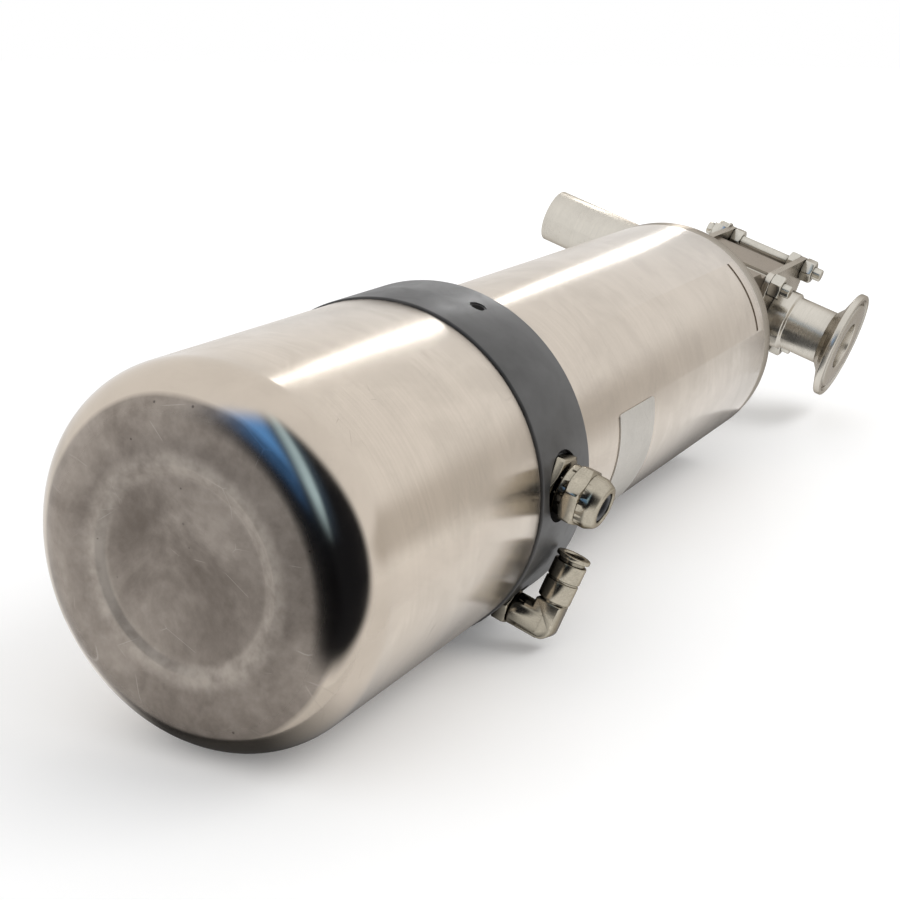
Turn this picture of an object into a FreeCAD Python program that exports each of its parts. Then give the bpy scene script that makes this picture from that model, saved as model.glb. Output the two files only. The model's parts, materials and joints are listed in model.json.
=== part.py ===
import FreeCAD, Part
import math
import os

import Sketcher
from FreeCAD import Placement, Rotation, Vector

# Pneumatic pinch valve, lying on its side as it is set down on a bench.
# Valve frame: x runs along the actuator axis from the seam between the end cup and the
# black head towards the pipe, the clamp ferrule and both fittings face -y, the vent hole +z.
# The whole valve is then rolled about x until the ferrule side hangs low.

SIZES = {
    # How the valve lies
    "roll_angle": 19.5,
    # Deep-drawn end cup
    "cup_radius": 53.0,
    "cup_wall": 1.5,
    "cup_length": 98.5,
    "cup_shoulder": 14.0,
    "dish_radius": 28.0,
    "dish_slope": 3.0,
    "dish_depth": 1.2,
    # Black actuator head between the cup and the barrel
    "head_rim": 0.6,
    "head_length": 32.5,
    "head_spigot": 8.0,
    "head_nose": 12.0,
    "head_hollow_radius": 41.0,
    "head_hub_radius": 16.0,
    "head_floor": 6.5,
    "transfer_bore_radius": 3.0,
    "transfer_bore_offset": 29.0,
    "vent_radius": 2.1,
    "vent_spot_radius": 4.5,
    "vent_spot_depth": 0.8,
    "vent_station": 21.0,
    "vent_offset": 4.0,
    # Barrel, its end plate and the wire that locks them together
    "barrel_radius": 46.6,
    "barrel_wall": 1.6,
    "barrel_length": 194.3,
    "end_plate_length": 8.0,
    "end_plate_nose": 16.0,
    "wire_radius": 0.8,
    "wire_setback": 8.5,
    "wire_slot_width": 2.0,
    "wire_slot_angle": 37.0,
    "wire_slot_start": 28.5,
    # Round seals
    "seal_groove_depth": 2.2,
    "seal_groove_width": 3.2,
    "seal_ease": 0.04,
    "fit_clearance": 0.12,
    "running_clearance": 0.05,
    # Piston, rod, spring and stop tube
    "piston_gap": 1.5,
    "piston_length": 24.0,
    "piston_recess_radius": 14.0,
    "piston_recess_depth": 9.0,
    "piston_skirt_depth": 9.0,
    "piston_hub_radius": 19.0,
    "guide_ring_width": 5.0,
    "guide_ring_depth": 2.0,
    "rod_radius": 8.0,
    "rod_stud_radius": 6.0,
    "rod_tip_radius": 5.0,
    "rod_tip_length": 9.0,
    "piston_nut_width": 19.0,
    "piston_nut_length": 7.0,
    "bush_wall": 2.0,
    "stop_tube_radius": 13.0,
    "stop_tube_wall": 3.0,
    "spring_radius": 30.0,
    "spring_wire_radius": 2.4,
    "spring_turns": 8.0,
    "spring_ease": 0.2,
    # Position indicator inside the cup
    "indicator_radius": 4.0,
    "indicator_reach": 50.0,
    "indicator_stud_radius": 2.5,
    "indicator_stud_length": 10.0,
    "target_radius": 9.0,
    "target_length": 4.0,
    "target_setback": 40.0,
    "switch_radius": 4.0,
    "switch_length": 30.0,
    "switch_gap": 2.5,
    "bracket_thickness": 2.0,
    "bracket_offset": 22.0,
    "bracket_height": 68.0,
    "bracket_width": 28.0,
    "bracket_foot": 14.0,
    "terminal_length": 18.0,
    "terminal_depth": 12.0,
    "terminal_width": 26.0,
    "pilot_length": 52.0,
    "pilot_depth": 18.0,
    "pilot_width": 16.0,
    "small_screw_radius": 2.0,
    "small_screw_head": 3.5,
    # Pinch body
    "pinch_height": 91.3,
    "body_depth": 35.0,
    "body_base_radius": 34.0,
    "body_base_length": 8.0,
    "body_trunk_width": 52.0,
    "body_trunk_length": 51.0,
    "body_taper_length": 6.0,
    "body_width": 46.0,
    "cavity_wall": 2.0,
    "cavity_depth": 23.0,
    "cavity_height": 20.9,
    "hub_bore_radius": 11.6,
    "hub_bore_length": 20.0,
    "stem_bore_radius": 9.0,
    "cap_screw_radius": 3.0,
    "cap_screw_head_radius": 5.0,
    "cap_screw_head_length": 6.0,
    "cap_screw_reach": 14.0,
    "cap_screw_y": 25.5,
    "cap_screw_z": 14.0,
    # Hose sleeve and pinch bars
    "hose_bore_radius": 10.0,
    "hose_wall": 2.6,
    "hose_gap": 0.3,
    "hose_collar_radius": 16.0,
    "hose_collar_length": 3.0,
    "pinched_thickness": 4.7,
    "bar_width": 38.0,
    "bar_depth": 14.0,
    "bar_nose_length": 6.8,
    "bar_nose_radius": 5.0,
    "bar_hub_radius": 11.0,
    "bar_hub_length": 13.0,
    "bar_pin_radius": 1.5,
    "anvil_screw_radius": 2.5,
    "anvil_screw_head_radius": 4.2,
    "anvil_screw_head_length": 4.0,
    # Pipe adapters, clamped to the body by four tie bolts
    "tie_pitch_x": 50.0,
    "tie_pitch_z": 39.0,
    "tie_radius": 3.0,
    "tie_hole_radius": 3.3,
    "tie_hex_width": 10.0,
    "tie_head_length": 6.0,
    "tie_nut_length": 5.5,
    "tie_lock_nut_length": 5.0,
    "tie_washer_length": 1.0,
    "tie_washer_radius": 6.2,
    "tie_end_length": 4.0,
    "plate_thickness": 3.0,
    "plate_corner": 5.2,
    "pipe_spigot_radius": 12.2,
    "pipe_radius": 12.7,
    "pipe_bore_radius": 11.05,
    "plain_pipe_reach": 100.5,
    "ferrule_reach": 57.4,
    "ferrule_radius": 25.25,
    "ferrule_rim": 2.85,
    "ferrule_bevel_radius": 16.5,
    "ferrule_bevel_length": 3.2,
    "ferrule_neck_length": 3.0,
    "ferrule_groove_pitch_radius": 21.7,
    "ferrule_groove_radius": 1.4,
    "weld_collar_radius": 14.0,
    "weld_collar_length": 9.0,
    # Bare identification plate on the barrel
    "label_thickness": 0.5,
    "label_length": 30.0,
    "label_setback": 40.5,
    "label_angle": 54.0,
    # Cable gland
    "port_station": 14.0,
    "gland_offset": 16.7,
    "gland_spot_depth": 8.2,
    "gland_spot_radius": 10.4,
    "gland_thread_radius": 6.0,
    "gland_thread_length": 9.5,
    "gland_hex_width": 17.5,
    "gland_hex_turn": 18.0,
    "gland_hex_length": 4.2,
    "gland_washer_length": 0.6,
    "gland_washer_radius": 8.9,
    "gland_nut_width": 17.0,
    "gland_nut_collar_radius": 8.0,
    "gland_nut_collar_length": 2.4,
    "gland_nut_hex_length": 5.2,
    "gland_dome_length": 6.0,
    "gland_dome_radius": 8.1,
    "gland_neck_length": 5.5,
    "gland_bore_radius": 4.7,
    "gland_insert_wall": 1.6,
    "gland_insert_length": 13.5,
    # Push-in elbow
    "elbow_offset": 27.0,
    "elbow_spot_depth": 9.6,
    "elbow_spot_radius": 8.0,
    "stem_thread_radius": 4.8,
    "stem_thread_length": 10.0,
    "stem_hex_width": 11.0,
    "stem_hex_length": 4.8,
    "stem_neck_radius": 3.5,
    "stem_neck_length": 5.0,
    "air_bore_radius": 2.1,
    "elbow_rise": 15.3,
    "elbow_turn": 16.5,
    "elbow_radius": 5.2,
    "elbow_block_width": 8.6,
    "elbow_block_height": 8.0,
    "elbow_block_corner": 3.4,
    "elbow_sleeve_length": 20.6,
    "sleeve_groove_depth": 0.45,
    "sleeve_groove_width": 0.9,
    "tube_bore_radius": 3.1,
    "tube_bore_length": 13.5,
    "collar_bore_radius": 4.25,
    "collar_bore_length": 7.0,
    "collar_length": 6.0,
    "collar_flange_radius": 5.4,
    "collar_flange_length": 1.3,
    "collar_travel": 1.0,
}


class Size:
    """A length with the spreadsheet expression that gives it."""

    def __init__(self, value, text):
        self.value = float(value)
        self.text = text

    def __add__(self, other):
        other = as_size(other)
        return Size(self.value + other.value, f"({self.text} + {other.text})")

    def __radd__(self, other):
        return as_size(other) + self

    def __sub__(self, other):
        other = as_size(other)
        return Size(self.value - other.value, f"({self.text} - {other.text})")

    def __rsub__(self, other):
        return as_size(other) - self

    def __mul__(self, factor):
        factor = as_size(factor)
        return Size(self.value * factor.value, f"({self.text} * {factor.text})")

    def __rmul__(self, factor):
        return self * factor

    def __truediv__(self, divisor):
        divisor = as_size(divisor)
        return Size(self.value / divisor.value, f"({self.text} / {divisor.text})")

    def __neg__(self):
        return Size(-self.value, f"(0 - {self.text})")


def as_size(value):
    if isinstance(value, Size):
        return value
    return Size(value, repr(float(value)))


class Dimensions:
    """Every driving dimension, by its name in the sheet."""

    def __init__(self, sheet):
        for row, (name, value) in enumerate(SIZES.items(), start=1):
            sheet.set(f"A{row}", name.replace("_", " "))
            sheet.set(f"B{row}", str(value))
            sheet.setAlias(f"B{row}", name)
            setattr(self, name, Size(value, f"Sizes.{name}"))


doc = FreeCAD.newDocument("pinch_valve")
sheet = doc.addObject("Spreadsheet::Sheet", "Sizes")
d = Dimensions(sheet)
doc.recompute()

parts = {}

# Reach of the head and its fittings from the actuator axis
head_radius = d.cup_radius + d.head_rim
gland_seat = head_radius - d.gland_spot_depth
elbow_seat = head_radius - d.elbow_spot_depth
elbow_axis_reach = elbow_seat + d.elbow_rise

# Stations along the actuator axis
head_face = d.head_length + d.head_nose
hollow_floor = d.head_length - d.head_floor
barrel_bore = d.barrel_radius - d.barrel_wall
barrel_end = d.head_length + d.barrel_length
nose_start = barrel_end - d.end_plate_nose
wire_station = barrel_end - d.wire_setback
body_start = barrel_end + d.end_plate_length
pinch_station = body_start + d.pinch_height
piston_front = head_face + d.piston_gap
piston_back = piston_front + d.piston_length
recess_floor = piston_front + d.piston_recess_depth

# Hose and pinch bars, measured from the pipe axis
hose_radius = d.hose_bore_radius + d.hose_wall
bar_crest = hose_radius + d.hose_gap
stroke = 2 * bar_crest - d.pinched_thickness
half_body = d.body_depth / 2
plate_face = half_body + d.plate_thickness
nose_back = pinch_station - bar_crest - d.bar_nose_length
rod_shoulder = nose_back - d.bar_hub_length
rod_end = rod_shoulder + d.rod_tip_length


class Arc:
    """The segment to the next corner is an arc: side is +1 if it bulges to the left."""

    def __init__(self, radius, side):
        self.radius = as_size(radius)
        self.side = side


def bind(item, path, size):
    """Set a property from a size and keep it tied to the sheet."""
    size = as_size(size)
    setattr(item, path, size.value)
    item.setExpression(path, size.text)


def new_body(name):
    body = doc.addObject("PartDesign::Body", name)
    body.Label = name
    return body


def new_sketch(body, name, plane="XY_Plane", offset=None):
    sketch = body.newObject("Sketcher::SketchObject", f"{body.Name}_{name}")
    planes = {feature.Role: feature for feature in body.Origin.OriginFeatures}
    sketch.AttachmentSupport = [(planes[plane], "")]
    sketch.MapMode = "FlatFace"
    if offset is not None:
        sketch.setExpression("AttachmentOffset.Base.z", as_size(offset).text)
    return sketch


def fix_point(sketch, geometry, point, x, y):
    """Tie one point of a sketch to its two coordinates."""
    for kind, axis, size in (("DistanceX", -2, as_size(x)), ("DistanceY", -1, as_size(y))):
        if size.value == 0.0:
            sketch.addConstraint(Sketcher.Constraint("PointOnObject", geometry, point, axis))
            continue
        constraint = Sketcher.Constraint(kind, -1, 1, geometry, point, size.value)
        index = sketch.addConstraint(constraint)
        sketch.setExpression(f"Constraints[{index}]", size.text)


def arc_between(start, end, radius, side):
    """The arc of a radius from start to end that bulges to the left (+1) or right (-1)."""
    chord = end - start
    half = chord.Length / 2
    rise = math.sqrt(max(radius * radius - half * half, 0.0))
    left = Vector(-chord.y, chord.x, 0).normalize()
    centre = (start + end) / 2 - left * (side * rise)
    middle = centre + left * (side * radius)
    return Part.Arc(start, middle, end)


def draw_outline(sketch, corners):
    """Draw a closed outline from corners (x, y) or (x, y, Arc)."""
    first = sketch.GeometryCount
    points = [Vector(as_size(c[0]).value, as_size(c[1]).value, 0) for c in corners]
    count = len(points)
    for i, corner in enumerate(corners):
        start, end = points[i], points[(i + 1) % count]
        if len(corner) == 3:
            sketch.addGeometry(arc_between(start, end, corner[2].radius.value, corner[2].side), False)
        else:
            sketch.addGeometry(Part.LineSegment(start, end), False)
    # A counterclockwise arc starts where the outline does; a clockwise one ends there
    heads, tails = [], []
    for i, corner in enumerate(corners):
        turned = len(corner) == 3 and corner[2].side > 0
        heads.append(2 if turned else 1)
        tails.append(1 if turned else 2)
    for i in range(count):
        following = (i + 1) % count
        sketch.addConstraint(
            Sketcher.Constraint("Coincident", first + i, tails[i], first + following, heads[following])
        )
    for i, corner in enumerate(corners):
        fix_point(sketch, first + i, heads[i], corner[0], corner[1])
        if len(corner) == 3:
            constraint = Sketcher.Constraint("Radius", first + i, corner[2].radius.value)
            index = sketch.addConstraint(constraint)
            sketch.setExpression(f"Constraints[{index}]", corner[2].radius.text)


def draw_circle(sketch, x, y, radius):
    x, y, radius = as_size(x), as_size(y), as_size(radius)
    centre = Vector(x.value, y.value, 0)
    circle = Part.Circle(centre, Vector(0, 0, 1), radius.value)
    index = sketch.addGeometry(circle, False)
    fix_point(sketch, index, 3, x, y)
    radius_index = sketch.addConstraint(Sketcher.Constraint("Radius", index, radius.value))
    sketch.setExpression(f"Constraints[{radius_index}]", radius.text)


def spin(body, name, corners, cut=False, plane="XY_Plane", axis="H_Axis", angle=360.0):
    """Revolve an outline about one of its sketch's axes, to add or to cut."""
    sketch = new_sketch(body, f"{name}_outline", plane)
    draw_outline(sketch, corners)
    kind = "PartDesign::Groove" if cut else "PartDesign::Revolution"
    feature = body.newObject(kind, f"{body.Name}_{name}")
    feature.Profile = sketch
    feature.ReferenceAxis = (sketch, [axis])
    bind(feature, "Angle", angle)
    return feature


def extrude(body, name, draw, length, plane="XZ_Plane", offset=None, symmetric=True, reverse=False):
    """Pad what draw puts in a sketch."""
    sketch = new_sketch(body, f"{name}_outline", plane, offset)
    draw(sketch)
    feature = body.newObject("PartDesign::Pad", f"{body.Name}_{name}")
    feature.Profile = sketch
    bind(feature, "Length", length)
    feature.SideType = "Symmetric" if symmetric else "One side"
    feature.Reversed = reverse
    return feature


def cut_out(body, name, draw, length=None, plane="XZ_Plane", offset=None, symmetric=True, reverse=False):
    """Pocket what draw puts in a sketch, right through when no length is given."""
    sketch = new_sketch(body, f"{name}_outline", plane, offset)
    draw(sketch)
    feature = body.newObject("PartDesign::Pocket", f"{body.Name}_{name}")
    feature.Profile = sketch
    if length is None:
        feature.Type = "ThroughAll"
    else:
        bind(feature, "Length", length)
    feature.SideType = "Symmetric" if symmetric else "One side"
    feature.Reversed = reverse
    return feature


def keep(item, name, placement=None):
    """Register a finished sub-part with its place in the valve frame."""
    item.Label = name
    parts[name] = (item, placement or Placement())


def turn(axis, degrees):
    return Placement(Vector(), Rotation(axis, degrees))


def move(x, y, z):
    return Placement(Vector(as_size(x).value, as_size(y).value, as_size(z).value), Rotation())


X_AXIS, Y_AXIS, Z_AXIS = Vector(1, 0, 0), Vector(0, 1, 0), Vector(0, 0, 1)
Z_TO_X = turn(Y_AXIS, 90)
Z_TO_Y = turn(X_AXIS, -90)
X_TO_MINUS_Y = turn(Z_AXIS, -90)


def primitive(kind, name, **sizes):
    item = doc.addObject(kind, name)
    for path, size in sizes.items():
        bind(item, path, size)
    return item


def cylinder(name, radius, length, placement):
    item = primitive("Part::Cylinder", name, Radius=radius, Height=length)
    item.Placement = placement
    return item


def hexagon(name, width, length, placement):
    """A hexagonal prism by its width across flats."""
    corner_radius = as_size(width) / math.sqrt(3.0)
    item = primitive("Part::Prism", name, Circumradius=corner_radius, Height=length)
    item.Polygon = 6
    item.Placement = placement
    return item


def box(name, low, high):
    """A box between two corners in the valve frame."""
    low = [as_size(v) for v in low]
    high = [as_size(v) for v in high]
    item = primitive(
        "Part::Box", name, Length=high[0] - low[0], Width=high[1] - low[1], Height=high[2] - low[2]
    )
    item.Placement = move(*low)
    return item


def cut(name, base, tool):
    item = doc.addObject("Part::Cut", name)
    item.Base = base
    item.Tool = tool
    return item


def fuse(name, shapes):
    item = doc.addObject("Part::MultiFuse", name)
    item.Shapes = shapes
    return item


def group(name, shapes):
    item = doc.addObject("Part::Compound", name)
    item.Links = shapes
    return item


def round_seal(name, floor_radius, bore_radius, station, placement=None):
    """A round seal ring that fills its groove up to the bore around it."""
    floor_radius, bore_radius = as_size(floor_radius), as_size(bore_radius)
    item = primitive(
        "Part::Torus", name,
        Radius1=(floor_radius + bore_radius) / 2,
        Radius2=(bore_radius - floor_radius) / 2 - d.seal_ease,
    )
    keep(item, name, placement or move(station, 0, 0) * Z_TO_X)


def groove_corners(centre, outer):
    """Four corners of a seal groove in an outer wall, in the order of the outline."""
    start, end = centre - d.seal_groove_width / 2, centre + d.seal_groove_width / 2
    floor = outer - d.seal_groove_depth
    return [(start, outer), (start, floor), (end, floor), (end, outer)]


def make_end_cup():
    body = new_body("end_cup")
    outer, inner = d.cup_radius, d.cup_radius - d.cup_wall
    shoulder_start = d.cup_shoulder - d.cup_length
    end, inside = -d.cup_length, d.cup_wall - d.cup_length
    flat = outer - d.cup_shoulder
    dish_floor = d.dish_radius - d.dish_slope
    spin(body, "shell", [
        (0, outer),
        (shoulder_start, outer, Arc(d.cup_shoulder, -1)),
        (end, flat),
        (end, d.dish_radius),
        (end + d.dish_depth, dish_floor),
        (end + d.dish_depth, 0),
        (inside + d.dish_depth, 0),
        (inside + d.dish_depth, dish_floor),
        (inside, d.dish_radius),
        (inside, flat, Arc(d.cup_shoulder - d.cup_wall, 1)),
        (shoulder_start, inner),
        (0, inner),
    ])
    keep(body, "end_cup")


def make_actuator_head():
    body = new_body("actuator_head")
    spigot = d.cup_radius - d.cup_wall - d.fit_clearance
    nose = barrel_bore - d.fit_clearance
    rod_hole = d.indicator_radius + d.bush_wall
    outline = [(-d.head_spigot, spigot)]
    outline += groove_corners(-d.head_spigot / 2, spigot)
    outline += [(0, spigot), (0, head_radius), (d.head_length, head_radius), (d.head_length, nose)]
    outline += groove_corners(d.head_length + d.head_nose / 2, nose)
    outline += [
        (head_face, nose),
        (head_face, rod_hole),
        (-d.head_spigot, rod_hole),
        (-d.head_spigot, d.head_hub_radius),
        (hollow_floor, d.head_hub_radius),
        (hollow_floor, d.head_hollow_radius),
        (-d.head_spigot, d.head_hollow_radius),
    ]
    spin(body, "turned", outline)

    cut_out(body, "elbow_spot_face",
            lambda sketch: draw_circle(sketch, d.port_station, -d.elbow_offset, d.elbow_spot_radius),
            head_radius, offset=elbow_seat, symmetric=False, reverse=True)
    cut_out(body, "gland_spot_face",
            lambda sketch: draw_circle(sketch, d.port_station, d.gland_offset, d.gland_spot_radius),
            head_radius, offset=gland_seat, symmetric=False, reverse=True)

    wall_inside = d.head_hub_radius + 4

    def threaded_ports(sketch):
        draw_circle(sketch, d.port_station, d.gland_offset, d.gland_thread_radius + d.running_clearance)
        draw_circle(sketch, d.port_station, -d.elbow_offset, d.stem_thread_radius + d.running_clearance)

    cut_out(body, "threaded_ports", threaded_ports, head_radius, offset=wall_inside,
            symmetric=False, reverse=True)
    cut_out(body, "vent", lambda sketch: draw_circle(sketch, d.vent_station, -d.vent_offset, d.vent_radius),
            head_radius, plane="XY_Plane", offset=wall_inside, symmetric=False, reverse=True)
    cut_out(body, "vent_spot",
            lambda sketch: draw_circle(sketch, d.vent_station, -d.vent_offset, d.vent_spot_radius),
            head_radius, plane="XY_Plane", offset=head_radius - d.vent_spot_depth,
            symmetric=False, reverse=True)
    cut_out(body, "transfer_bore",
            lambda sketch: draw_circle(sketch, -d.transfer_bore_offset, 0, d.transfer_bore_radius),
            2 * d.head_nose + d.head_floor, plane="YZ_Plane", offset=hollow_floor - d.head_nose,
            symmetric=False, reverse=True)
    keep(body, "actuator_head")
    round_seal("cup_seal", spigot - d.seal_groove_depth, d.cup_radius - d.cup_wall, -d.head_spigot / 2)
    round_seal("head_seal", nose - d.seal_groove_depth, barrel_bore, d.head_length + d.head_nose / 2)


def make_barrel():
    body = new_body("cylinder_barrel")
    wire_groove = barrel_bore + d.wire_radius
    spin(body, "tube", [
        (d.head_length, d.barrel_radius),
        (barrel_end, d.barrel_radius),
        (barrel_end, barrel_bore),
        (wire_station + d.wire_radius, barrel_bore),
        (wire_station + d.wire_radius, wire_groove),
        (wire_station - d.wire_radius, wire_groove),
        (wire_station - d.wire_radius, barrel_bore),
        (d.head_length, barrel_bore),
    ])
    slot = [
        (wire_station - d.wire_slot_width / 2, barrel_bore - d.wire_radius),
        (wire_station + d.wire_slot_width / 2, barrel_bore - d.wire_radius),
        (wire_station + d.wire_slot_width / 2, d.barrel_radius + d.barrel_wall),
        (wire_station - d.wire_slot_width / 2, d.barrel_radius + d.barrel_wall),
    ]
    spin(body, "wire_slot", slot, cut=True, angle=d.wire_slot_angle)
    # The slot starts at +y, so the barrel is turned to bring it beside the ferrule
    slot_end = d.wire_slot_start + d.wire_slot_angle
    keep(body, "cylinder_barrel", turn(X_AXIS, 180 - slot_end.value))


def make_end_plate():
    body = new_body("barrel_end_plate")
    nose = barrel_bore - d.fit_clearance
    bush_hole = d.rod_radius + d.bush_wall
    groove_centre = nose_start + 4
    outline = [(nose_start, bush_hole), (nose_start, nose)]
    outline += groove_corners(groove_centre, nose)
    outline += [
        (wire_station - d.wire_radius, nose),
        (wire_station - d.wire_radius, nose - d.wire_radius),
        (wire_station + d.wire_radius, nose - d.wire_radius),
        (wire_station + d.wire_radius, nose),
        (barrel_end, nose),
        (barrel_end, d.barrel_radius),
        (body_start - 1, d.barrel_radius),
        (body_start, d.barrel_radius - 1),
        (body_start, bush_hole),
    ]
    spin(body, "turned", outline)

    def screw_holes(sketch):
        for side_y in (1, -1):
            for side_z in (1, -1):
                draw_circle(sketch, side_y * d.cap_screw_y, side_z * d.cap_screw_z,
                            d.cap_screw_radius + d.running_clearance)

    hole_depth = d.cap_screw_reach - d.body_base_length + 1
    cut_out(body, "screw_holes", screw_holes, hole_depth, plane="YZ_Plane",
            offset=body_start - hole_depth, symmetric=False, reverse=True)
    keep(body, "barrel_end_plate")
    round_seal("end_plate_seal", nose - d.seal_groove_depth, barrel_bore, groove_centre)

    wire = primitive("Part::Torus", "retaining_wire", Radius1=barrel_bore,
                     Radius2=d.wire_radius - d.seal_ease)
    keep(wire, "retaining_wire", move(wire_station, 0, 0) * Z_TO_X)

    bush = new_body("rod_bush")
    bore = d.rod_radius + d.running_clearance
    spin(bush, "turned", [
        (nose_start, bore),
        (nose_start, bush_hole),
        (body_start, bush_hole),
        (body_start, bore),
    ])
    keep(bush, "rod_bush")


def make_indicator_bush():
    body = new_body("indicator_bush")
    outer = d.indicator_radius + d.bush_wall
    bore = d.indicator_radius + d.running_clearance
    spin(body, "turned", [
        (-d.head_spigot, bore),
        (-d.head_spigot, outer),
        (head_face, outer),
        (head_face, bore),
    ])
    keep(body, "indicator_bush")


def make_piston():
    body = new_body("piston")
    outer = barrel_bore - d.fit_clearance
    bore = d.rod_stud_radius + d.running_clearance
    seal_centre = piston_front + d.piston_length / 4
    guide_start = piston_front + d.piston_length / 2
    guide_floor = outer - d.guide_ring_depth
    skirt_inner = outer - d.guide_ring_depth - 4
    outline = [(piston_front, d.piston_recess_radius), (piston_front, outer)]
    outline += groove_corners(seal_centre, outer)
    outline += [
        (guide_start, outer),
        (guide_start, guide_floor),
        (guide_start + d.guide_ring_width, guide_floor),
        (guide_start + d.guide_ring_width, outer),
        (piston_back, outer),
        (piston_back, skirt_inner),
        (piston_back - d.piston_skirt_depth, skirt_inner),
        (piston_back - d.piston_skirt_depth, d.piston_hub_radius),
        (piston_back, d.piston_hub_radius),
        (piston_back, bore),
        (recess_floor, bore),
        (recess_floor, d.piston_recess_radius),
    ]
    spin(body, "turned", outline)
    keep(body, "piston")
    round_seal("piston_seal", outer - d.seal_groove_depth, barrel_bore, seal_centre)

    ring = new_body("piston_guide_ring")
    ring_start = guide_start + d.seal_ease
    ring_end = guide_start + d.guide_ring_width - d.seal_ease
    ring_floor = guide_floor + d.seal_ease
    ring_outer = barrel_bore - d.running_clearance
    spin(ring, "turned", [
        (ring_start, ring_floor),
        (ring_start, ring_outer),
        (ring_end, ring_outer),
        (ring_end, ring_floor),
    ])
    keep(ring, "piston_guide_ring")


def make_rod():
    stud_start = recess_floor - d.piston_nut_length - 1
    tapped = d.indicator_stud_radius + d.running_clearance
    tapped_end = stud_start + d.indicator_stud_length + 1
    body = new_body("piston_rod")
    spin(body, "turned", [
        (stud_start, tapped),
        (stud_start, d.rod_stud_radius),
        (piston_back, d.rod_stud_radius),
        (piston_back, d.rod_radius),
        (rod_shoulder, d.rod_radius),
        (rod_shoulder, d.rod_tip_radius),
        (rod_end, d.rod_tip_radius),
        (rod_end, 0),
        (tapped_end, 0),
        (tapped_end, tapped),
    ])
    pin_hole = d.bar_pin_radius + d.running_clearance
    cut_out(body, "pin_hole",
            lambda sketch: draw_circle(sketch, rod_shoulder + d.rod_tip_length / 2, 0, pin_hole))
    keep(body, "piston_rod")

    nut_place = move(recess_floor - d.piston_nut_length, 0, 0) * Z_TO_X
    nut = hexagon("piston_nut_hexagon", d.piston_nut_width, d.piston_nut_length, nut_place)
    bore = cylinder("piston_nut_bore", d.rod_stud_radius + d.running_clearance,
                    d.piston_nut_length, nut_place)
    keep(cut("piston_nut", nut, bore), "piston_nut")

    rod = new_body("indicator_rod")
    spin(rod, "turned", [
        (-d.indicator_reach, 0),
        (-d.indicator_reach, d.indicator_radius - 1),
        (1 - d.indicator_reach, d.indicator_radius),
        (stud_start, d.indicator_radius),
        (stud_start, d.indicator_stud_radius),
        (stud_start + d.indicator_stud_length, d.indicator_stud_radius),
        (stud_start + d.indicator_stud_length, 0),
    ])
    keep(rod, "indicator_rod")

    target = new_body("switch_target")
    target_bore = d.indicator_radius + d.running_clearance
    spin(target, "turned", [
        (-d.target_setback - d.target_length, target_bore),
        (-d.target_setback - d.target_length, d.target_radius),
        (-d.target_setback, d.target_radius),
        (-d.target_setback, target_bore),
    ])
    keep(target, "switch_target")


def make_spring_and_stop():
    tube = new_body("stop_tube")
    start = piston_back + stroke
    inner = d.stop_tube_radius - d.stop_tube_wall
    spin(tube, "turned", [
        (start, inner),
        (start, d.stop_tube_radius),
        (nose_start, d.stop_tube_radius),
        (nose_start, inner),
    ])
    keep(tube, "stop_tube")

    # Each turn of the spring is two half turns of round wire, leaning to and fro
    spring = new_body("return_spring")
    seat = piston_back - d.piston_skirt_depth
    wound = nose_start - seat - 2 * d.spring_wire_radius - 2 * d.spring_ease
    pitch = wound / d.spring_turns
    halves = []
    for index, side in enumerate((1, -1)):
        sketch = new_sketch(spring, f"wire_section_{index}", "XZ_Plane")
        start = pitch * (index / 2)
        draw_circle(sketch, side * d.spring_radius, start, d.spring_wire_radius)
        middle = Vector(0, (start + pitch / 4).value, 0)
        slope = Vector(side * pitch.value / 4, d.spring_radius.value, 0)
        axis = sketch.addGeometry(Part.LineSegment(middle, middle + slope), True)
        fix_point(sketch, axis, 1, 0, start + pitch / 4)
        fix_point(sketch, axis, 2, side * pitch / 4, start + pitch / 4 + d.spring_radius)
        half = spring.newObject("PartDesign::Revolution", f"return_spring_half_{index}")
        half.Profile = sketch
        half.ReferenceAxis = (sketch, ["Axis0"])
        half.Angle = 180
        halves.append(half)
    rows = spring.newObject("PartDesign::LinearPattern", "return_spring_turns")
    rows.Originals = halves
    rows.Direction = (sketch, ["V_Axis"])
    bind(rows, "Length", wound - pitch)
    rows.setExpression("Occurrences", d.spring_turns.text)
    spring.Tip = rows
    keep(spring, "return_spring", move(seat + d.spring_wire_radius + d.spring_ease, 0, 0) * Z_TO_X)


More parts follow.
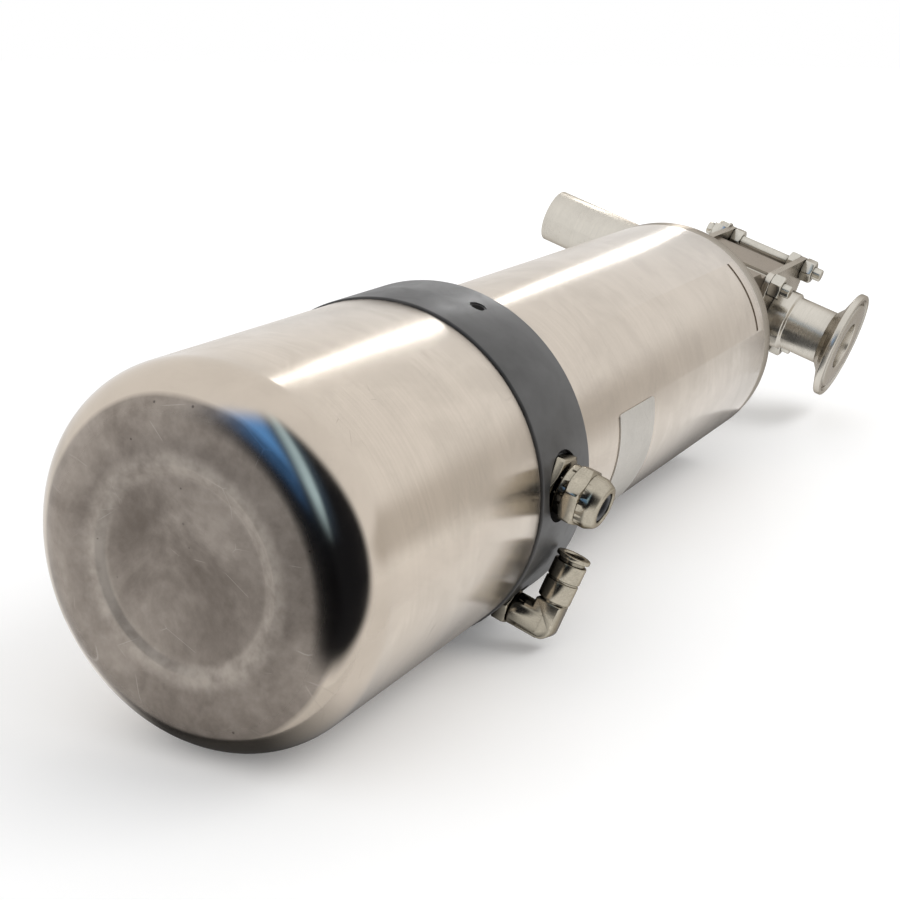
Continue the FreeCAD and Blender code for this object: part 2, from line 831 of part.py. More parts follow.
def make_switch_unit():
    foot_face = -d.head_spigot
    foot_start = d.bracket_offset + d.bracket_thickness - d.bracket_foot - d.bracket_thickness
    back = d.bracket_offset + d.bracket_thickness
    half = d.bracket_width / 2
    foot = box("bracket_foot", (foot_face - d.bracket_thickness, foot_start, -half), (foot_face, back, half))
    upright = box("bracket_upright", (foot_face - d.bracket_height, d.bracket_offset, -half),
                  (foot_face, back, half))
    tip = d.target_radius + d.switch_gap
    target_open = -d.target_setback - d.target_length / 2
    target_shut = target_open + stroke
    holes = [
        cylinder(f"bracket_hole_{i}", d.switch_radius + d.running_clearance, d.switch_length,
                 move(station, tip, 0) * Z_TO_Y)
        for i, station in enumerate((target_open, target_shut))
    ]
    screw_z = half / 2
    screw_y = foot_start + d.small_screw_head + 0.5
    for i, side in enumerate((1, -1)):
        place = move(foot_face - 2 * d.bracket_thickness, screw_y, side * screw_z) * Z_TO_X
        holes.append(cylinder(f"bracket_screw_hole_{i}", d.small_screw_radius + d.running_clearance,
                              3 * d.bracket_thickness, place))
    solid = fuse("bracket_solid", [foot, upright])
    keep(cut("switch_bracket", solid, fuse("bracket_holes", holes)), "switch_bracket")

    screws = []
    for i, side in enumerate((1, -1)):
        z = side * screw_z
        head_start = foot_face - d.bracket_thickness - d.small_screw_radius
        head = cylinder(f"bracket_screw_head_{i}", d.small_screw_head, d.small_screw_radius,
                        move(head_start, screw_y, z) * Z_TO_X)
        shank = cylinder(f"bracket_screw_shank_{i}", d.small_screw_radius,
                         d.small_screw_radius + d.bracket_thickness,
                         move(head_start, screw_y, z) * Z_TO_X)
        screws.append(fuse(f"bracket_screw_{i}", [head, shank]))
    keep(group("bracket_screws", screws), "bracket_screws")

    for name, station in (("open_switch", target_open), ("closed_switch", target_shut)):
        body = cylinder(f"{name}_barrel", d.switch_radius, d.switch_length,
                        move(station, tip, 0) * Z_TO_Y)
        nut = hexagon(f"{name}_nut", 1.6 * 2 * d.switch_radius, d.bracket_thickness,
                      move(station, back, 0) * Z_TO_Y)
        keep(fuse(name, [body, nut]), name)

    terminal_top = foot_face - d.bracket_height
    keep(box("terminal_block", (terminal_top, back, -d.terminal_width / 2),
             (terminal_top + d.terminal_length, back + d.terminal_depth, d.terminal_width / 2)),
         "terminal_block")
    pilot_start = -d.transfer_bore_offset - d.pilot_depth / 2
    keep(box("pilot_valve", (hollow_floor - d.pilot_length, pilot_start, -d.pilot_width / 2),
             (hollow_floor, pilot_start + d.pilot_depth, d.pilot_width / 2)), "pilot_valve")


def tie_positions():
    """The four tie bolts, as x and z from the pipe axis."""
    return [(side_x * d.tie_pitch_x / 2, side_z * d.tie_pitch_z / 2)
            for side_x in (1, -1) for side_z in (1, -1)]


def make_pinch_body():
    trunk_start = body_start + d.body_base_length
    flange = new_body("body_flange")
    spin(flange, "turned", [
        (body_start, d.stem_bore_radius),
        (body_start, d.body_base_radius),
        (trunk_start - 1, d.body_base_radius),
        (trunk_start, d.body_base_radius - 1),
        (trunk_start, d.stem_bore_radius),
    ])

    def screw_holes(sketch):
        for side_y in (1, -1):
            for side_z in (1, -1):
                draw_circle(sketch, side_y * d.cap_screw_y, side_z * d.cap_screw_z,
                            d.cap_screw_radius + d.running_clearance)

    cut_out(flange, "screw_holes", screw_holes, d.body_base_length, plane="YZ_Plane",
            offset=body_start, symmetric=False, reverse=True)
    keep(flange, "body_flange")

    body = new_body("pinch_body")
    half_width, half_trunk = d.body_width / 2, d.body_trunk_width / 2
    trunk_end = body_start + d.body_trunk_length
    taper_end = trunk_end + d.body_taper_length

    def side_view(sketch):
        draw_outline(sketch, [
            (trunk_start, -half_trunk),
            (trunk_end, -half_trunk),
            (taper_end, -half_width),
            (pinch_station, -half_width, Arc(half_width, -1)),
            (pinch_station + half_width, 0, Arc(half_width, -1)),
            (pinch_station, half_width),
            (taper_end, half_width),
            (trunk_end, half_trunk),
            (trunk_start, half_trunk),
        ])

    extrude(body, "trunk", side_view, d.body_depth)
    cavity_start = pinch_station - d.cavity_height
    hub_start = cavity_start - d.hub_bore_length
    spin(body, "stem_bore", [
        (trunk_start - 1, 0),
        (trunk_start - 1, d.stem_bore_radius),
        (hub_start, d.stem_bore_radius),
        (hub_start, d.hub_bore_radius),
        (cavity_start + 1, d.hub_bore_radius),
        (cavity_start + 1, 0),
    ], cut=True)
    cavity = half_width - d.cavity_wall

    def cavity_view(sketch):
        draw_outline(sketch, [
            (cavity_start, -cavity),
            (pinch_station, -cavity, Arc(cavity, -1)),
            (pinch_station + cavity, 0, Arc(cavity, -1)),
            (pinch_station, cavity),
            (cavity_start, cavity),
        ])

    cut_out(body, "cavity", cavity_view, d.cavity_depth)
    cut_out(body, "hose_hole",
            lambda sketch: draw_circle(sketch, pinch_station, 0, hose_radius + d.running_clearance))
    recess = d.hose_collar_radius + d.running_clearance
    for side, reverse in ((1, True), (-1, False)):
        cut_out(body, "collar_recess_front" if side > 0 else "collar_recess_back",
                lambda sketch: draw_circle(sketch, pinch_station, 0, recess),
                d.body_depth, offset=side * (half_body - d.hose_collar_length),
                symmetric=False, reverse=reverse)

    def bolt_grooves(sketch):
        x = pinch_station - d.tie_pitch_x / 2
        for side in (1, -1):
            z = side * d.tie_pitch_z / 2
            open_end = side * half_trunk
            bend = Arc(d.tie_hole_radius, side)
            draw_outline(sketch, [
                (x + d.tie_hole_radius, open_end),
                (x + d.tie_hole_radius, z, bend),
                (x, z - side * d.tie_hole_radius, bend),
                (x - d.tie_hole_radius, z),
                (x - d.tie_hole_radius, open_end),
            ])

    cut_out(body, "bolt_grooves", bolt_grooves)
    cut_out(body, "anvil_screw_hole",
            lambda sketch: draw_circle(sketch, 0, 0, d.anvil_screw_radius + d.running_clearance),
            half_width, plane="YZ_Plane", offset=pinch_station + half_width / 2,
            symmetric=False, reverse=True)
    keep(body, "pinch_body")


def make_body_screws():
    screws = []
    head_face_x = body_start + d.body_base_length
    for side_y in (1, -1):
        for side_z in (1, -1):
            index = len(screws)
            y, z = side_y * d.cap_screw_y, side_z * d.cap_screw_z
            head = cylinder(f"body_screw_head_{index}", d.cap_screw_head_radius,
                            d.cap_screw_head_length, move(head_face_x, y, z) * Z_TO_X)
            shank = cylinder(f"body_screw_shank_{index}", d.cap_screw_radius,
                             d.cap_screw_reach + d.cap_screw_head_length / 2,
                             move(head_face_x - d.cap_screw_reach, y, z) * Z_TO_X)
            screws.append(fuse(f"body_screw_{index}", [head, shank]))
    keep(group("body_screws", screws), "body_screws")


def make_pinch_bars():
    bar = new_body("moving_pinch_bar")
    crest = pinch_station - bar_crest
    half = d.bar_width / 2
    nose_start_x = crest - d.bar_nose_radius
    half_depth = d.bar_depth / 2

    def nose_view(sketch):
        draw_outline(sketch, [
            (nose_back, -half_depth),
            (nose_start_x, -half_depth),
            (crest, -d.bar_nose_radius / 2),
            (crest, d.bar_nose_radius / 2),
            (nose_start_x, half_depth),
            (nose_back, half_depth),
        ])

    extrude(bar, "nose", nose_view, d.bar_width, plane="XY_Plane")
    spin(bar, "hub", [
        (rod_shoulder, 0),
        (rod_shoulder, d.bar_hub_radius - 1),
        (rod_shoulder + 1, d.bar_hub_radius),
        (nose_back + 1, d.bar_hub_radius),
        (nose_back + 1, 0),
    ])
    trim = d.bar_hub_radius + 1

    def hub_flats(sketch):
        for side in (1, -1):
            draw_outline(sketch, [
                (rod_shoulder - 1, side * half_depth),
                (nose_back, side * half_depth),
                (nose_back, side * trim),
                (rod_shoulder - 1, side * trim),
            ])

    cut_out(bar, "hub_flats", hub_flats, plane="XY_Plane")
    spin(bar, "rod_socket", [
        (rod_shoulder - 1, 0),
        (rod_shoulder - 1, d.rod_tip_radius + d.running_clearance),
        (rod_end + 0.5, d.rod_tip_radius + d.running_clearance),
        (rod_end + 0.5, 0),
    ], cut=True)
    pin_station = rod_shoulder + d.rod_tip_length / 2
    cut_out(bar, "pin_hole",
            lambda sketch: draw_circle(sketch, pin_station, 0, d.bar_pin_radius + d.running_clearance))
    keep(bar, "moving_pinch_bar")

    pin = cylinder("bar_pin", d.bar_pin_radius, d.bar_depth, Placement())
    keep(pin, "bar_pin", move(pin_station, -half_depth, 0) * Z_TO_Y)

    anvil = new_body("fixed_pinch_bar")
    arc_radius = d.body_width / 2 - d.cavity_wall - d.seal_ease
    chord = math.sqrt(arc_radius.value ** 2 - bar_crest.value ** 2)
    chord_text = f"(sqrt({arc_radius.text} ^ 2 - {bar_crest.text} ^ 2))"
    chord = Size(chord, chord_text)

    def anvil_view(sketch):
        draw_outline(sketch, [
            (pinch_station + bar_crest, -chord, Arc(arc_radius, -1)),
            (pinch_station + arc_radius, 0, Arc(arc_radius, -1)),
            (pinch_station + bar_crest, chord),
        ])

    extrude(anvil, "segment", anvil_view, d.bar_depth)
    cut_out(anvil, "screw_hole",
            lambda sketch: draw_circle(sketch, 0, 0, d.anvil_screw_radius + d.running_clearance),
            d.body_width, plane="YZ_Plane", offset=pinch_station + bar_crest + 1,
            symmetric=False, reverse=True)
    keep(anvil, "fixed_pinch_bar")

    seat = pinch_station + d.body_width / 2
    head = cylinder("anvil_screw_head", d.anvil_screw_head_radius, d.anvil_screw_head_length,
                    move(seat, 0, 0) * Z_TO_X)
    shank_start = pinch_station + bar_crest + 1.5
    shank = cylinder("anvil_screw_shank", d.anvil_screw_radius, seat - shank_start + 1,
                     move(shank_start, 0, 0) * Z_TO_X)
    keep(fuse("fixed_bar_screw", [head, shank]), "fixed_bar_screw")


def make_hose():
    body = new_body("hose_sleeve")
    collar_start = half_body - d.hose_collar_length
    spin(body, "sleeve", [
        (d.hose_bore_radius, -half_body),
        (d.hose_collar_radius, -half_body),
        (d.hose_collar_radius, -collar_start),
        (hose_radius, -collar_start),
        (hose_radius, collar_start),
        (d.hose_collar_radius, collar_start),
        (d.hose_collar_radius, half_body),
        (d.hose_bore_radius, half_body),
    ], axis="V_Axis")
    keep(body, "hose_sleeve", move(pinch_station, 0, 0))


def adapter_plate(name, placement):
    """The bolted plate of an adapter, with the pipe's hole and four for the tie bolts."""
    body = new_body(name)
    half_x = d.tie_pitch_x / 2 + d.plate_corner
    half_z = d.tie_pitch_z / 2 + d.plate_corner
    bend = Arc(d.plate_corner, -1)

    def plate_view(sketch):
        inner_x, inner_z = d.tie_pitch_x / 2, d.tie_pitch_z / 2
        draw_outline(sketch, [
            (-inner_x, -half_z),
            (inner_x, -half_z, bend),
            (half_x, -inner_z),
            (half_x, inner_z, bend),
            (inner_x, half_z),
            (-inner_x, half_z, bend),
            (-half_x, inner_z),
            (-half_x, -inner_z, bend),
        ])

    extrude(body, "plate", plate_view, d.plate_thickness, offset=-half_body,
            symmetric=False, reverse=True)

    def holes(sketch):
        draw_circle(sketch, 0, 0, d.pipe_spigot_radius + d.running_clearance)
        for x, z in tie_positions():
            draw_circle(sketch, x, z, d.tie_hole_radius)

    cut_out(body, "holes", holes)
    keep(body, name, placement)


def make_adapters():
    plain_side = move(pinch_station, 0, 0)
    clamp_side = plain_side * turn(X_AXIS, 180)
    adapter_plate("plain_end_plate", plain_side)
    adapter_plate("clamp_end_plate", clamp_side)

    plain = new_body("plain_end_pipe")
    end = d.plain_pipe_reach
    spin(plain, "tube", [
        (d.pipe_bore_radius, half_body),
        (d.pipe_spigot_radius, half_body),
        (d.pipe_spigot_radius, plate_face),
        (d.pipe_radius, plate_face),
        (d.pipe_radius, end),
        (d.pipe_bore_radius, end),
    ], axis="V_Axis")
    keep(plain, "plain_end_pipe", plain_side)

    collar_end = plate_face + d.weld_collar_length
    face = d.ferrule_reach
    bevel_top = face - d.ferrule_rim
    bevel_foot = bevel_top - d.ferrule_bevel_length
    neck = bevel_foot - d.ferrule_neck_length
    groove_low = d.ferrule_groove_pitch_radius - d.ferrule_groove_radius
    groove_high = d.ferrule_groove_pitch_radius + d.ferrule_groove_radius
    clamp = new_body("clamp_end_pipe")
    spin(clamp, "tube", [
        (d.pipe_bore_radius, half_body),
        (d.pipe_spigot_radius, half_body),
        (d.pipe_spigot_radius, plate_face),
        (d.weld_collar_radius, plate_face),
        (d.weld_collar_radius, collar_end),
        (d.pipe_radius, collar_end + 1),
        (d.pipe_radius, neck),
        (d.pipe_bore_radius, neck),
    ], axis="V_Axis")
    keep(clamp, "clamp_end_pipe", clamp_side)

    ferrule = new_body("clamp_ferrule")
    spin(ferrule, "turned", [
        (d.pipe_bore_radius, neck),
        (d.pipe_radius, neck),
        (d.ferrule_bevel_radius, bevel_foot),
        (d.ferrule_radius, bevel_top),
        (d.ferrule_radius, face),
        (groove_high, face, Arc(d.ferrule_groove_radius * 1.1, 1)),
        (groove_low, face),
        (d.pipe_bore_radius, face),
    ], axis="V_Axis")
    keep(ferrule, "clamp_ferrule", clamp_side)


def make_tie_bolts():
    bolts, washers, nuts, lock_nuts = [], [], [], []
    bore = d.tie_radius + d.running_clearance
    head_seat = plate_face + d.tie_washer_length
    bolt_end = plate_face + d.tie_nut_length + d.tie_end_length
    for index, (x, z) in enumerate(tie_positions()):

        def at(y):
            return move(pinch_station + x, y, z) * Z_TO_Y

        def ring(name, shape, length, y):
            hole = cylinder(f"{name}_bore", bore, length, at(y))
            return cut(name, shape, hole)

        head = hexagon(f"tie_bolt_head_{index}", d.tie_hex_width, d.tie_head_length, at(head_seat))
        shank = cylinder(f"tie_bolt_shank_{index}", d.tie_radius,
                         bolt_end + head_seat + d.tie_head_length / 2, at(-bolt_end))
        bolts.append(fuse(f"tie_bolt_{index}", [head, shank]))

        disc = cylinder(f"tie_washer_disc_{index}", d.tie_washer_radius, d.tie_washer_length,
                        at(plate_face))
        washers.append(ring(f"tie_washer_{index}", disc, d.tie_washer_length, plate_face))

        nut_start = -plate_face - d.tie_nut_length
        nut = hexagon(f"tie_nut_hexagon_{index}", d.tie_hex_width, d.tie_nut_length, at(nut_start))
        nuts.append(ring(f"tie_nut_{index}", nut, d.tie_nut_length, nut_start))

        if x.value > 0:
            lock_start = -half_body
            lock = hexagon(f"lock_nut_hexagon_{index}", d.tie_hex_width, d.tie_lock_nut_length,
                           at(lock_start))
            lock_nuts.append(ring(f"lock_nut_{index}", lock, d.tie_lock_nut_length, lock_start))
    keep(group("tie_bolts", bolts), "tie_bolts")
    keep(group("tie_bolt_washers", washers), "tie_bolt_washers")
    keep(group("tie_bolt_nuts", nuts), "tie_bolt_nuts")
    keep(group("inner_lock_nuts", lock_nuts), "inner_lock_nuts")


def make_label_plate():
    body = new_body("label_plate")
    start = d.head_length + d.label_setback
    inner = d.barrel_radius
    outer = inner + d.label_thickness
    spin(body, "sheet", [
        (start, inner),
        (start + d.label_length, inner),
        (start + d.label_length, outer),
        (start, outer),
    ], angle=d.label_angle)
    keep(body, "label_plate", turn(X_AXIS, 180 - d.label_angle.value / 2))


def make_gland():
    place = move(d.port_station, 0, d.gland_offset) * X_TO_MINUS_Y
    hex_start = gland_seat + d.gland_washer_length
    hex_end = hex_start + d.gland_hex_length
    neck_end = hex_end + d.gland_neck_length
    thread_start = gland_seat - d.gland_thread_length
    wider = d.gland_hex_width / math.sqrt(3.0)

    body = new_body("gland_body")
    extrude(body, "hexagon", lambda sketch: draw_hexagon(sketch, d.gland_hex_width),
            d.gland_hex_length, plane="YZ_Plane", offset=hex_start, symmetric=False)
    spin(body, "corners", [
        (hex_end, d.gland_hex_width / 2),
        (hex_end, wider + 1),
        (hex_end - 1, wider + 1),
        (hex_end - 0.5, wider),
    ], cut=True)
    spin(body, "thread", [
        (thread_start, 0),
        (thread_start, d.gland_thread_radius),
        (neck_end, d.gland_thread_radius),
        (neck_end, 0),
    ])
    spin(body, "bore", [
        (thread_start - 1, 0),
        (thread_start - 1, d.gland_bore_radius),
        (neck_end + 1, d.gland_bore_radius),
        (neck_end + 1, 0),
    ], cut=True)
    keep(body, "gland_body", place * turn(X_AXIS, d.gland_hex_turn.value))

    washer = new_body("gland_washer")
    spin(washer, "ring", [
        (gland_seat, d.gland_thread_radius + d.running_clearance),
        (gland_seat, d.gland_washer_radius),
        (hex_start, d.gland_washer_radius),
        (hex_start, d.gland_thread_radius + d.running_clearance),
    ])
    keep(washer, "gland_washer", place)

    nut_start = hex_end + 1
    nut_hex_start = nut_start + d.gland_nut_collar_length
    nut_hex_end = nut_hex_start + d.gland_nut_hex_length
    nut_end = nut_hex_end + d.gland_dome_length
    nut = new_body("gland_nut")
    extrude(nut, "hexagon", lambda sketch: draw_hexagon(sketch, d.gland_nut_width),
            d.gland_nut_hex_length, plane="YZ_Plane", offset=nut_hex_start, symmetric=False)
    spin(nut, "collar", [
        (nut_start, 0),
        (nut_start, d.gland_nut_collar_radius),
        (nut_hex_start + 1, d.gland_nut_collar_radius),
        (nut_hex_start + 1, 0),
    ])
    spin(nut, "dome", [
        (nut_hex_end - 1, 0),
        (nut_hex_end - 1, d.gland_dome_radius),
        (nut_hex_end + 1, d.gland_dome_radius, Arc(d.gland_dome_length - 1, 1)),
        (nut_end, d.gland_dome_radius - d.gland_dome_length / 3),
        (nut_end, 0),
    ])
    neck_bore = d.gland_thread_radius + d.running_clearance
    spin(nut, "bore", [
        (nut_start - 1, 0),
        (nut_start - 1, neck_bore),
        (neck_end + 0.2, neck_bore),
        (neck_end + 0.2 + neck_bore - d.gland_bore_radius, d.gland_bore_radius),
        (nut_end + 1, d.gland_bore_radius),
        (nut_end + 1, 0),
    ], cut=True)
    keep(nut, "gland_nut", place)

    insert = new_body("gland_insert")
    insert_radius = d.gland_bore_radius - d.seal_ease
    insert_end = nut_end - 0.6
    spin(insert, "rubber", [
        (insert_end - d.gland_insert_length, insert_radius - d.gland_insert_wall),
        (insert_end - d.gland_insert_length, insert_radius),
        (insert_end, insert_radius),
        (insert_end, insert_radius - d.gland_insert_wall),
    ])
    keep(insert, "gland_insert", place)


def draw_hexagon(sketch, width):
    """A hexagon about the origin by its width across flats, with corners up and down."""
    half = width / 2
    corner = width / math.sqrt(3.0)
    draw_outline(sketch, [
        (half, -corner / 2),
        (half, corner / 2),
        (0, corner),
        (-half, corner / 2),
        (-half, -corner / 2),
        (0, -corner),
    ])


def make_elbow():
    place = move(d.port_station, 0, -d.elbow_offset) * X_TO_MINUS_Y
    hex_end = elbow_seat + d.stem_hex_length
    neck_end = hex_end + d.stem_neck_length
    stem = new_body("elbow_stem")
    extrude(stem, "hexagon", lambda sketch: draw_hexagon(sketch, d.stem_hex_width),
            d.stem_hex_length, plane="YZ_Plane", offset=elbow_seat, symmetric=False)
    spin(stem, "thread", [
        (elbow_seat - d.stem_thread_length, 0),
        (elbow_seat - d.stem_thread_length, d.stem_thread_radius),
        (elbow_seat + 1, d.stem_thread_radius),
        (elbow_seat + 1, d.stem_neck_radius),
        (neck_end, d.stem_neck_radius),
        (neck_end, 0),
    ])
    spin(stem, "bore", [
        (elbow_seat - d.stem_thread_length - 1, 0),
        (elbow_seat - d.stem_thread_length - 1, d.air_bore_radius),
        (neck_end + 1, d.air_bore_radius),
        (neck_end + 1, 0),
    ], cut=True)
    keep(stem, "elbow_stem", place)

    # The elbow's own frame: x outwards along the swivel axis, z up its sleeve,
    # turned so that its air tube passes beside the gland
    corner = move(d.port_station, -elbow_axis_reach, -d.elbow_offset) * X_TO_MINUS_Y
    corner = corner * turn(X_AXIS, -d.elbow_turn.value)
    elbow = new_body("elbow_body")
    radius, grooved = d.elbow_radius, d.elbow_radius - d.sleeve_groove_depth
    top = d.elbow_sleeve_length
    half_block = d.elbow_block_width / 2
    foot = d.elbow_block_height
    level = (foot + top) / 2
    spin(elbow, "sleeve", [
        (0, 0),
        (half_block - 0.2, 0),
        (half_block - 0.2, foot),
        (radius, foot),
        (radius, level),
        (grooved, level),
        (grooved, level + d.sleeve_groove_width),
        (radius, level + d.sleeve_groove_width),
        (radius, top),
        (0, top),
    ], plane="XZ_Plane", axis="V_Axis")
    hub_start = hex_end - elbow_axis_reach + 0.3
    block_start = hub_start + 3
    block_corner = d.elbow_block_corner
    extrude(elbow, "corner_block", lambda sketch: draw_outline(sketch, [
        (block_start, -half_block),
        (half_block - block_corner, -half_block, Arc(block_corner, -1)),
        (half_block, block_corner - half_block),
        (half_block, foot - 0.5),
        (-half_block, foot - 0.5),
        (-half_block, half_block),
        (block_start, half_block),
    ]), d.elbow_block_width)
    spin(elbow, "hub", [
        (hub_start, 0),
        (hub_start, radius - 0.5),
        (hub_start + 0.5, radius),
        (0, radius),
        (0, 0),
    ])
    swivel_bore = d.stem_neck_radius + d.running_clearance
    swivel_end = neck_end - elbow_axis_reach + 0.3
    spin(elbow, "swivel_bore", [
        (hub_start - 1, 0),
        (hub_start - 1, swivel_bore),
        (swivel_end, swivel_bore),
        (swivel_end, d.air_bore_radius),
        (0, d.air_bore_radius),
        (0, 0),
    ], cut=True)
    tube_stop = top - d.tube_bore_length
    collar_stop = top - d.collar_bore_length
    seal_station = (tube_stop + collar_stop) / 2 + 1
    seal_half = d.seal_groove_width / 4
    seal_floor = d.collar_bore_radius
    spin(elbow, "tube_bore", [
        (0, 0),
        (d.air_bore_radius, 0),
        (d.air_bore_radius, tube_stop),
        (d.tube_bore_radius, tube_stop),
        (d.tube_bore_radius, seal_station - seal_half),
        (seal_floor, seal_station - seal_half),
        (seal_floor, seal_station + seal_half),
        (d.tube_bore_radius, seal_station + seal_half),
        (d.tube_bore_radius, collar_stop),
        (d.collar_bore_radius, collar_stop),
        (d.collar_bore_radius, top + 1),
        (0, top + 1),
    ], cut=True, plane="XZ_Plane", axis="V_Axis")
    keep(elbow, "elbow_body", corner)
    seal_section = (seal_floor - d.tube_bore_radius) / 2
    seal = primitive("Part::Torus", "tube_seal", Radius1=d.tube_bore_radius + seal_section,
                     Radius2=seal_section - d.seal_ease)
    keep(seal, "tube_seal", corner * move(0, 0, seal_station))

    collar = new_body("release_collar")
    flange_start = top + d.collar_travel + 0.2
    stem_outer = d.collar_bore_radius - d.running_clearance
    collar_start = top - d.collar_length + d.collar_travel
    spin(collar, "ring", [
        (d.tube_bore_radius, collar_start),
        (stem_outer, collar_start),
        (stem_outer, flange_start),
        (d.collar_flange_radius, flange_start),
        (d.collar_flange_radius, flange_start + d.collar_flange_length),
        (d.tube_bore_radius + 0.5, flange_start + d.collar_flange_length),
        (d.tube_bore_radius, flange_start + d.collar_flange_length - 0.5),
    ], plane="XZ_Plane", axis="V_Axis")
    keep(collar, "release_collar", corner)


make_end_cup()
make_actuator_head()
make_barrel()
make_end_plate()
make_indicator_bush()
make_piston()
make_rod()
make_spring_and_stop()
make_switch_unit()
make_pinch_body()
make_body_screws()
make_pinch_bars()
make_hose()
make_adapters()
make_tie_bolts()
make_label_plate()
make_gland()
make_elbow()
doc.recompute()


def check_features():
    for item in doc.Objects:
        if "Invalid" in item.State or "Error" in item.State:
            raise RuntimeError(f"{item.Label} failed: {item.State}")


def check_solids():
    for name, (item, placement) in parts.items():
        if item.Shape.isNull() or not item.Shape.isValid() or not item.Shape.Solids:
            raise RuntimeError(f"{name} has no valid solid")


def lay_down():
    """Roll the valve and set the middle of its footprint on the origin."""
    roll = turn(X_AXIS, d.roll_angle.value)
    rest = {}
    bounds = FreeCAD.BoundBox()
    for name, (item, placement) in parts.items():
        rest[name] = item.Placement
        item.Placement = roll * placement * item.Placement
        bounds.add(item.Shape.optimalBoundingBox(False, False))
    down = Placement(Vector(-bounds.Center.x, -bounds.Center.y, -bounds.ZMin), Rotation())
    for name, (item, placement) in parts.items():
        item.Placement = down * roll * placement * rest[name]
    return down * roll


check_features()
check_solids()
lying = lay_down()
doc.recompute()
check_features()
check_solids()

os.makedirs("parts", exist_ok=True)
for name, (item, placement) in parts.items():
    item.Shape.exportStep(f"parts/{name}.step")

print("stroke", round(stroke.value, 3))
for label, point in {
    "ferrule face": Vector(pinch_station.value, -d.ferrule_reach.value, 0),
    "plain pipe end": Vector(pinch_station.value, d.plain_pipe_reach.value, 0),
    "gland axis": Vector(d.port_station.value, -gland_seat.value, d.gland_offset.value),
    "swivel axis": Vector(d.port_station.value, -elbow_axis_reach.value, -d.elbow_offset.value),
}.items():
    print(label, [round(v, 4) for v in lying.multVec(point)])
print("parts", len(parts), "solids", sum(len(item.Shape.Solids) for item, placement in parts.values()))
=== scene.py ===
import json
import math

import bmesh
import bpy
from mathutils import Matrix, Vector


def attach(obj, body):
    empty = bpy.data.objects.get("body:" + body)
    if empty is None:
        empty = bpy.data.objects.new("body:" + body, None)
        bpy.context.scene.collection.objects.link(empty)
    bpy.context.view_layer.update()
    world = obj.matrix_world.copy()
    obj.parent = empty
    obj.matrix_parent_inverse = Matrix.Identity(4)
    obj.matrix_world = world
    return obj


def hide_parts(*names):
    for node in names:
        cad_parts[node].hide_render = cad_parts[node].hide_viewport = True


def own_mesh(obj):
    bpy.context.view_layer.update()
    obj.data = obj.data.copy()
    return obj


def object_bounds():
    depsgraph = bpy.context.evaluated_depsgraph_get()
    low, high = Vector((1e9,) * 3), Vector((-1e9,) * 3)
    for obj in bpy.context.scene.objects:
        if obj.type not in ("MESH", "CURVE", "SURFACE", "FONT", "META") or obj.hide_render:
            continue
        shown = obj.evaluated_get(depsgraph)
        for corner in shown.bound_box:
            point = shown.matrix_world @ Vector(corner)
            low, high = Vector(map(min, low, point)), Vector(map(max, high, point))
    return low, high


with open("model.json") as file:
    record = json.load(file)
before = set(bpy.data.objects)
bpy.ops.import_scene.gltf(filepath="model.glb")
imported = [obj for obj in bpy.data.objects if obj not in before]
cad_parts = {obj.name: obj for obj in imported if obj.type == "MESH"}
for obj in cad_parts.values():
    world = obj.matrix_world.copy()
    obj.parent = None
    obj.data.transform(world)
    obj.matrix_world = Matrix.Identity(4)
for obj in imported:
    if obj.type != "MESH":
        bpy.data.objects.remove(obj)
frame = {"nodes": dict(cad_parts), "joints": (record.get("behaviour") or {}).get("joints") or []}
cad_box = [list(corner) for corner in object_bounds()]
scene = bpy.context.scene

# The valve frame, in millimetres: x along the actuator axis from the seam between the end cup
# and the black head, the clamp ferrule and both fittings on the -y side, the vent hole on +z.
# The valve lies rolled about x, so that the ferrule side hangs low.
MM = 0.001
ROLL = math.radians(19.5)
SWIVEL = Vector((14.0, -59.3, -27.0))
swivel_joint = next(joint for joint in frame["joints"] if joint["name"] == "elbow_swivel")
ROLLED = Matrix.Rotation(ROLL, 4, "X")
SEAM = Vector(swivel_joint["pos_m"]) - ROLLED @ (SWIVEL * MM)
VALVE = Matrix.Translation(SEAM) @ ROLLED @ Matrix.Scale(MM, 4)

AXIAL = Matrix.Identity(4)
FERRULE_SIDE = Matrix.Rotation(-math.pi / 2, 4, "Z")  # turns +x to -y
PIPE_SIDE = Matrix.Rotation(math.pi / 2, 4, "Z")  # turns +x to +y

HEAD_LENGTH, HEAD_RADIUS, NOSE_RADIUS = 32.5, 53.6, 44.88
CUP_RADIUS, CUP_LENGTH, CUP_WALL, SEAM_GAP = 53.0, 98.5, 1.5, 0.8
BARREL_RADIUS, BARREL_BORE, BARREL_END = 46.6, 45.0, 226.8
WIRE_STATION, WIRE_RADIUS = 218.3, 0.76
LABEL_SPAN, LABEL_HALF_ANGLE = (73.0, 103.0), 27.0
BODY_START, STEM_BORE = 234.8, 9.0
TRUNK_START = BODY_START + 8
PINCH = 326.1
TIE_PITCH_X, TIE_PITCH_Z = 50.0, 39.0
PLATE_IN, PLATE_OUT = 17.5, 20.5
PIPE_RADIUS, PIPE_BORE, PIPE_END = 12.7, 11.05, 100.5
SPIGOT_RADIUS = 12.2
FERRULE_FACE = 57.4
FERRULE_NECK = FERRULE_FACE - 9.05

# Along the fittings' own axes, from the head's axis
GLAND_SEAT, ELBOW_SEAT = 45.4, 44.0
GLAND_BORE = 4.7
WASHER_END = GLAND_SEAT + 0.6
GLAND_BASE_END = WASHER_END + 4.2
COLLAR_END = GLAND_BASE_END + 1 + 2.4
CLAMP_END = COLLAR_END + 5.2
DOME_END = CLAMP_END + 6.0
STEM_END = ELBOW_SEAT + 4.8
ELBOW_HALF, SLEEVE_FOOT, SLEEVE_TOP = 4.3, 8.0, 20.6


def moved(x, y, z):
    return Matrix.Translation((x, y, z))


